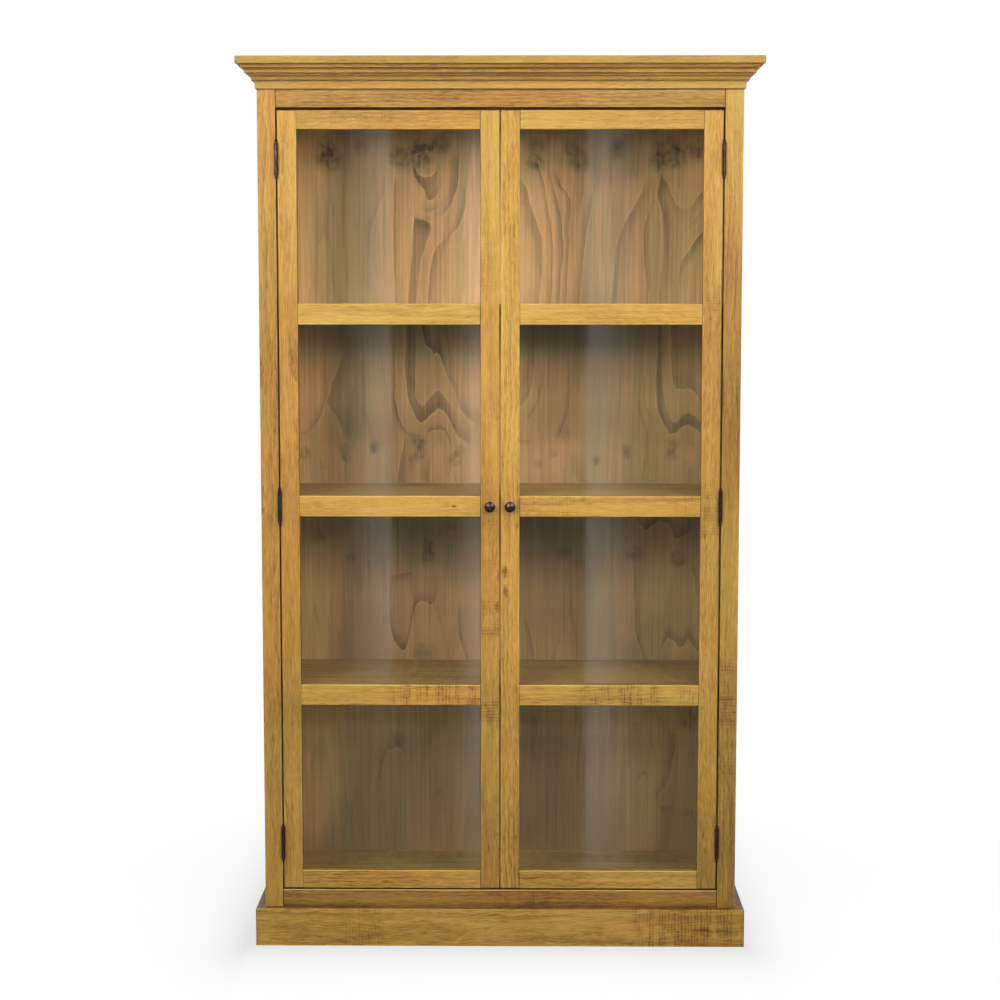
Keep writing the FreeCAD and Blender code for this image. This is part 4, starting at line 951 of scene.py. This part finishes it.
# Knots: across, height, radius and darkness.
KNOTS = (
    (-397, 1738, 15, 0.8), (-390, 1712, 18, 1.0), (-314, 1737, 11, 0.7), (-228, 1716, 16, 1.0),
    (-180, 1716, 17, 1.1), (-189, 1738, 12, 0.9), (-160, 1742, 10, 0.8), (-138, 1745, 14, 0.9),
    (80, 1737, 14, 0.7), (78, 1704, 12, 0.9), (158, 1734, 11, 0.8), (176, 1708, 15, 0.9),
    (264, 1745, 8, 0.9), (258, 1728, 10, 0.8), (390, 1713, 15, 1.1), (352, 1708, 14, 1.0),
    (384, 1740, 13, 0.8), (352, 1737, 10, 0.8), (442, 1733, 15, 1.0), (-453, 1046, 10, 0.9),
    (-358, 1056, 9, 0.7), (-356, 1036, 7, 0.9), (-288, 1066, 7, 0.8), (-291, 1053, 6, 0.8),
    (-187, 1072, 10, 1.0), (-184, 1048, 9, 0.9), (-201, 1031, 8, 0.6), (-97, 1052, 8, 0.8),
    (-105, 1032, 10, 0.6), (120, 1046, 7, 0.7), (83, 1022, 7, 0.6), (218, 1030, 7, 0.8),
    (285, 1058, 7, 0.8), (286, 1043, 6, 0.8), (389, 1066, 10, 0.9), (389, 1041, 10, 0.9),
    (140, 1092, 10, 0.6), (-172, 834, 10, 0.9), (-170, 812, 11, 1.0), (-346, 805, 7, 0.7),
    (-418, 852, 11, 0.7), (-178, 585, 16, 0.6), (141, 815, 10, 0.7), (303, 817, 14, 0.8),
    (406, 804, 12, 1.0), (-240, 385, 12, 0.5), (432, 430, 20, 0.9),
)
# Under each shelf and the ceiling the back is given a greener tint of painted shade: height in metres, and
# how much.
SHADOW_TINT = (0.96, 1.07, 1.03)
GREEN_BY_HEIGHT = (
    (0.34, 0.0), (0.4, 0.35), (0.46, 0.45), (0.56, 0.0), (0.78, 0.0), (0.84, 0.2), (0.9, 0.4), (0.97, 0.0),
    (1.22, 0.0), (1.28, 0.3), (1.34, 0.4), (1.38, 0.0), (1.64, 0.0), (1.7, 0.12), (1.78, 0.32),
)
# How much lighter the back is made: one value for the outer face, and for the inner face a value for each
# height in metres.
OUTSIDE_LIGHT = 1.25
LIGHT_BY_HEIGHT = (
    (0.13, 1.13), (0.18, 1.11), (0.22, 1.12), (0.27, 1.18), (0.31, 1.22), (0.36, 1.32), (0.4, 2.0),
    (0.45, 2.5), (0.58, 1.22), (0.67, 1.22), (0.71, 1.3), (0.76, 1.2), (0.8, 1.05), (0.84, 0.97),
    (0.88, 1.06), (0.99, 1.25), (1.04, 1.28), (1.09, 1.12), (1.13, 1.16), (1.18, 1.34), (1.23, 1.36),
    (1.28, 1.07), (1.32, 0.84), (1.4, 1.4), (1.5, 1.36), (1.6, 1.26), (1.66, 1.3), (1.71, 1.38),
    (1.75, 1.02), (1.78, 0.66),
)
# Patches of the inner face that are made lighter or darker than that: across, height, half width, half
# height in millimetres, and how much lighter.
LIGHT_PATCHES = (
    (-440, 1600, 70, 300, 0.45), (-335, 1550, 95, 300, -0.3), (-160, 1700, 90, 80, 0.12),
    (170, 1520, 240, 340, -0.18), (250, 1710, 90, 60, -0.22), (430, 1710, 50, 60, 0.2),
    (-355, 1140, 65, 260, -0.3), (-445, 1150, 55, 280, 0.28), (170, 1270, 190, 190, -0.36),
    (80, 1130, 80, 120, -0.15), (410, 1170, 90, 260, 0.18), (-445, 720, 75, 280, 0.75),
    (90, 770, 120, 220, -0.42), (200, 700, 60, 200, -0.18), (-330, 660, 80, 170, -0.2),
    (360, 720, 120, 230, 0.16), (-90, 780, 50, 60, -0.2), (-460, 340, 120, 240, 0.95),
    (-350, 400, 100, 80, 0.35), (50, 300, 140, 300, -0.52), (310, 270, 75, 260, 0.5),
    (400, 360, 60, 100, 0.2), (-150, 220, 60, 120, -0.15),
)


def metres(*lengths):
    return [length / 1000 for length in lengths]


def ring_group():
    """Adds to a tone what one ring's edge changes on both its sides."""
    group, (before, off, depth) = new_group("ring_edge", ("Before", "Off", "Depth"))
    result = before + (curve(off * (1 - RING_EDGE) + RING_EDGE, RING_PROFILE) - 0.5) * 2.0 * depth
    before.node("NodeGroupOutput", {}, {"Result": result})
    return group


def spot_group():
    """Adds a soft-edged ellipse to a tone."""
    titles = ("Before", "Across", "Height", "X", "Z", "Half width", "Half height", "Strength")
    group, (before, across, height, x, z, half_width, half_height, strength) = new_group("soft_spot", titles)
    aside = before.maths("DIVIDE", across - x, half_width)
    above = before.maths("DIVIDE", height - z, half_height)
    result = before + strength * (1 - rise(aside * aside + above * above, 0.0, 1.3))
    before.node("NodeGroupOutput", {}, {"Result": result})
    return group


RING_GROUP = ring_group()
SPOT_GROUP = spot_group()


def ring_edge(before, along, place, dark_side, reach, *points):
    middle = curve(along, [metres(run, where) for run, where, _ in points])
    fading = [(run, deep) for run, _, deep in sorted(points)]
    fading = [(fading[0][0] - RING_FADE, 0), *fading, (fading[-1][0] + RING_FADE, 0)]
    depth = curve(along, [(run / 1000, deep * RING_DEPTH) for run, deep in fading])
    sockets = {"Before": before, "Off": (place - middle) * (dark_side * 1000 / reach), "Depth": depth}
    return along.node("ShaderNodeGroup", {"node_tree": RING_GROUP}, sockets)


def soft_spot(before, across, height, x, z, half_width, half_height, strength):
    sockets = {"Before": before, "Across": across, "Height": height, "X": x, "Z": z, "Half width": half_width,
               "Half height": half_height, "Strength": strength}
    return across.node("ShaderNodeGroup", {"node_tree": SPOT_GROUP}, sockets)


def veneer():
    material, start = new_finish("knotty_veneer")
    place, split = position(start)
    swirl = noise(place, (34.0, 34.0, 22.0), detail=4.0, roughness=0.6, out="Color")
    swirl = swirl.node("ShaderNodeSeparateXYZ", {}, {"Vector": swirl})
    jitter = noise(place, (210.0, 210.0, 120.0), detail=2.0) - 0.5
    across = split.other("X") + (swirl.other("X") - 0.5) * SWIRL[0] + jitter * JITTER[0]
    height = split.other("Z") + (swirl.other("Z") - 0.5) * SWIRL[1] + jitter * JITTER[1]

    sheet = place.node("ShaderNodeCombineXYZ", {}, {"X": across, "Y": 0.6, "Z": height})
    field = noise(sheet, (6.5, 1.0, 0.75), detail=1.0) * 8.0 + noise(sheet, (24.0, 1.0, 1.8)) * 1.2
    ring = field.maths("FRACT", field)
    late = rise(ring, 0.25, 0.92) * (1 - rise(ring, 0.94, 0.97))
    threads = noise(place, (230.0, 230.0, 4.0), detail=3.0, roughness=0.6) - 0.5
    clouds = noise(moved(place, (8.0, 2.0, 6.0)), (10.0, 10.0, 1.4), detail=3.0) - 0.5
    flecks = rise(noise(place, (600.0, 600.0, 40.0), detail=1.0), 0.58, 0.72)
    smudge = noise(moved(place, (5.0, 5.0, 5.0)), (80.0, 80.0, 70.0), detail=4.0, roughness=0.6)
    smudge = rise(smudge, 0.34, 0.66)
    shade = VENEER_TONE + CLOUD_SHARE * clouds + THREAD_SHARE * threads
    shade = shade - FLECK_DARK * flecks - LATE_DARK * late
    for row in UPRIGHT_RINGS:
        shade = ring_edge(shade, height, across, *row)
    for row in LEVEL_RINGS:
        shade = ring_edge(shade, across, height, *row)
    tint = noise(moved(place, (2.0, 9.0, 4.0)), (7.0, 7.0, 1.2)) + 0.10 * late
    for *ellipse, lighter, greener in PATCHES:
        if lighter:
            shade = soft_spot(shade, across, height, *metres(*ellipse), lighter)
        if greener:
            tint = soft_spot(tint, across, height, *metres(*ellipse), greener)
    dark = 0.0
    for x, z, radius, depth in KNOTS:
        ellipse = (x, z, KNOT_SPREAD[0] * radius, KNOT_SPREAD[1] * radius)
        dark = soft_spot(dark, across, height, *metres(*ellipse), depth)
    shade = shade - VENEER_KNOT_DARK * dark * (0.30 + 0.70 * smudge)
    # Painted light: the veneer gets lighter further up, on both its faces.
    shade = shade * (FOOT_LIGHT + TOP_MORE_LIGHT * rise(split.other("Z"), FOOT_HEIGHT, TOP_HEIGHT))

    colour = start.node("ShaderNodeValToRGB", {"stops": VENEER}, {"Fac": shade})
    low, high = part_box("back_panel")
    middle = (low[1] + high[1]) / 2
    inside = 1 - rise(split.other("Y"), middle - 0.001, middle + 0.001)
    green = inside * curve(split.other("Z"), GREEN_BY_HEIGHT)
    tint = tint + 0.3 * dark + green
    colour = blended(1.0, colour, blended(rise(tint, 0.36, 0.70), VENEER_RED, VENEER_OLIVE), "MULTIPLY")
    colour = blended(2.0 * green, colour, SHADOW_TINT, "MULTIPLY")
    light = curve(split.other("Z"), LIGHT_BY_HEIGHT)
    for *ellipse, lighter in LIGHT_PATCHES:
        light = soft_spot(light, split.other("X"), split.other("Z"), *metres(*ellipse), lighter)
    light = inside * (light - OUTSIDE_LIGHT) + OUTSIDE_LIGHT
    colour = blended(1.0, colour, grey(light), "MULTIPLY")
    grooves = threads - 0.5 * flecks
    skin(start, colour, 0.55 + 0.2 * clouds, mirror=0.3, height=grooves, strength=0.2, depth=0.0004)
    return material


dress("back_panel", veneer())
print("veneer with", len(KNOTS), "knots and", len(UPRIGHT_RINGS) + len(LEVEL_RINGS), "ring edges")

# %% [markdown]
# Each pane is clear float glass. A glass shader bends every ray and keeps the light of the lamps out of the
# bookcase, and thin flat panes bend what is behind them by almost nothing. So the pane is plain
# see-through, with a mirror mixed in by the Fresnel rule, and some fine dust and wiping marks in the
# mirror's roughness.

# %% Glass
GLASS_TINT = (0.955, 0.972, 0.958)
# Lower than real glass has, for a mirror as weak as the photograph's.
GLASS_MIRROR_IOR = 1.195


def glass():
    material, start = new_finish("clear_glass")
    place = start.node("ShaderNodeTexCoord", out="Object")
    wiped = 0.05 + 0.06 * noise(place, (6.0, 6.0, 2.0), detail=4.0)
    clear = start.node("ShaderNodeBsdfTransparent", {}, {"Color": GLASS_TINT})
    mirror = start.node("ShaderNodeBsdfGlossy", {}, {"Color": (1.0, 1.0, 1.0), "Roughness": wiped})
    share = start.node("ShaderNodeFresnel", {}, {"IOR": GLASS_MIRROR_IOR})
    show(start, start.node("ShaderNodeMixShader", {}, {"Fac": share, "Shader": clear, "Shader_001": mirror}))
    return material


pane_finish = glass()
for node in ("left_door_glass_panes", "right_door_glass_panes"):
    dress(node, pane_finish)
print("glass in both doors")

# %% [markdown]
# Hinges and knobs are dark bronze. A white studio mirrors in them as an even grey, so the bright spots
# that the photograph shows are painted into the colour as highlights instead. The screws, pins, bolts and
# strike plates are zinc-plated steel with fine brushing, and the catches are brown plastic with an
# iron-grey magnet. Each is a plain shader whose colour and roughness follow noise at the scale of the real
# finish.

# %% Metals and plastics
SMALL_FINISHES = {
    # Dark tone, light tone, metal, mirror, least roughness, more roughness, spots and fine spots per metre.
    "dark_bronze": ((0.009, 0.006, 0.005), (0.044, 0.025, 0.018), 0.10, 0.12, 0.30, 0.16, 160.0, 1400.0),
    "zinc_steel": ((0.36, 0.35, 0.32), (0.62, 0.61, 0.57), 1.0, 0.5, 0.30, 0.25, 220.0, 2600.0),
    "brown_plastic": ((0.060, 0.035, 0.020), (0.105, 0.065, 0.040), 0.0, 0.5, 0.48, 0.15, 300.0, 3200.0),
    "magnet_iron": ((0.035, 0.035, 0.038), (0.085, 0.085, 0.090), 0.1, 0.5, 0.55, 0.2, 400.0, 3000.0),
}
BRONZE_HIGHLIGHT = (0.34, 0.25, 0.22)
# Glints on a knob: places beside and above its middle, radius and strength.
KNOB_GLINTS = ((-0.0035, 0.0053, 0.0042, 0.9), (0.0053, 0.0053, 0.0042, 0.9))
# Glints on the upper two hinges: side (0 left, 1 right), offset from it, above or below, and strength.
BARREL_GLINTS = ((0, 0.0036, 1, 0.9), (0, 0.0036, -1, 0.4), (1, -0.0040, 1, 0.4), (1, -0.0040, -1, 0.4))
BARREL_RISE = 0.017
BARREL_HALF = (0.0014, 0.018)


def glints():
    """Where painted highlights lie on the bronze: across, height, half width, half height and strength."""
    found = []
    for side in ("left", "right"):
        low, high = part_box(f"{side}_door_knob")
        x, z = (low[0] + high[0]) / 2, (low[2] + high[2]) / 2
        for aside, above, radius, strength in KNOB_GLINTS:
            found.append((x + aside, z + above, radius, radius, strength))
    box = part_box("hinge_washers")
    for side, offset, knuckle, strength in BARREL_GLINTS:
        found.append((box[side][0] + offset, box[1][2] + BARREL_RISE * knuckle, *BARREL_HALF, strength))
    return found


def small_finish(name, dark, light, metal, mirror, rough, rougher, spots, fine_spots):
    material, start = new_finish(name)
    place = start.node("ShaderNodeTexCoord", out="Object")
    clouds = noise(place, (spots,) * 3, detail=3.0)
    grit = noise(place, (fine_spots, fine_spots, 0.3 * fine_spots), detail=2.0)
    worn = rise(0.6 * clouds + 0.4 * grit, 0.38, 0.66)
    colour = blended(worn, dark, light)
    # Painted highlights on the knobs and the upper two hinges.
    if name == "dark_bronze":
        _, split = position(start)
        for row in glints():
            spot = soft_spot(0.0, split.other("X"), split.other("Z"), *row)
            colour = blended(spot * (0.5 + 0.5 * worn), colour, BRONZE_HIGHLIGHT)
    roughness = rough + rougher * (1 - worn)
    dents = clouds + 0.5 * grit
    skin(start, colour, roughness, mirror, height=dents, strength=0.15, depth=0.0002, metal=metal)
    return material


small_finishes = {name: small_finish(name, *row) for name, row in SMALL_FINISHES.items()}
for row in frame["record"]["subparts"]:
    if row["material_slot"] in small_finishes:
        dress(row["node"], small_finishes[row["material_slot"]])
print(len(small_finishes), "finishes for the small pieces")
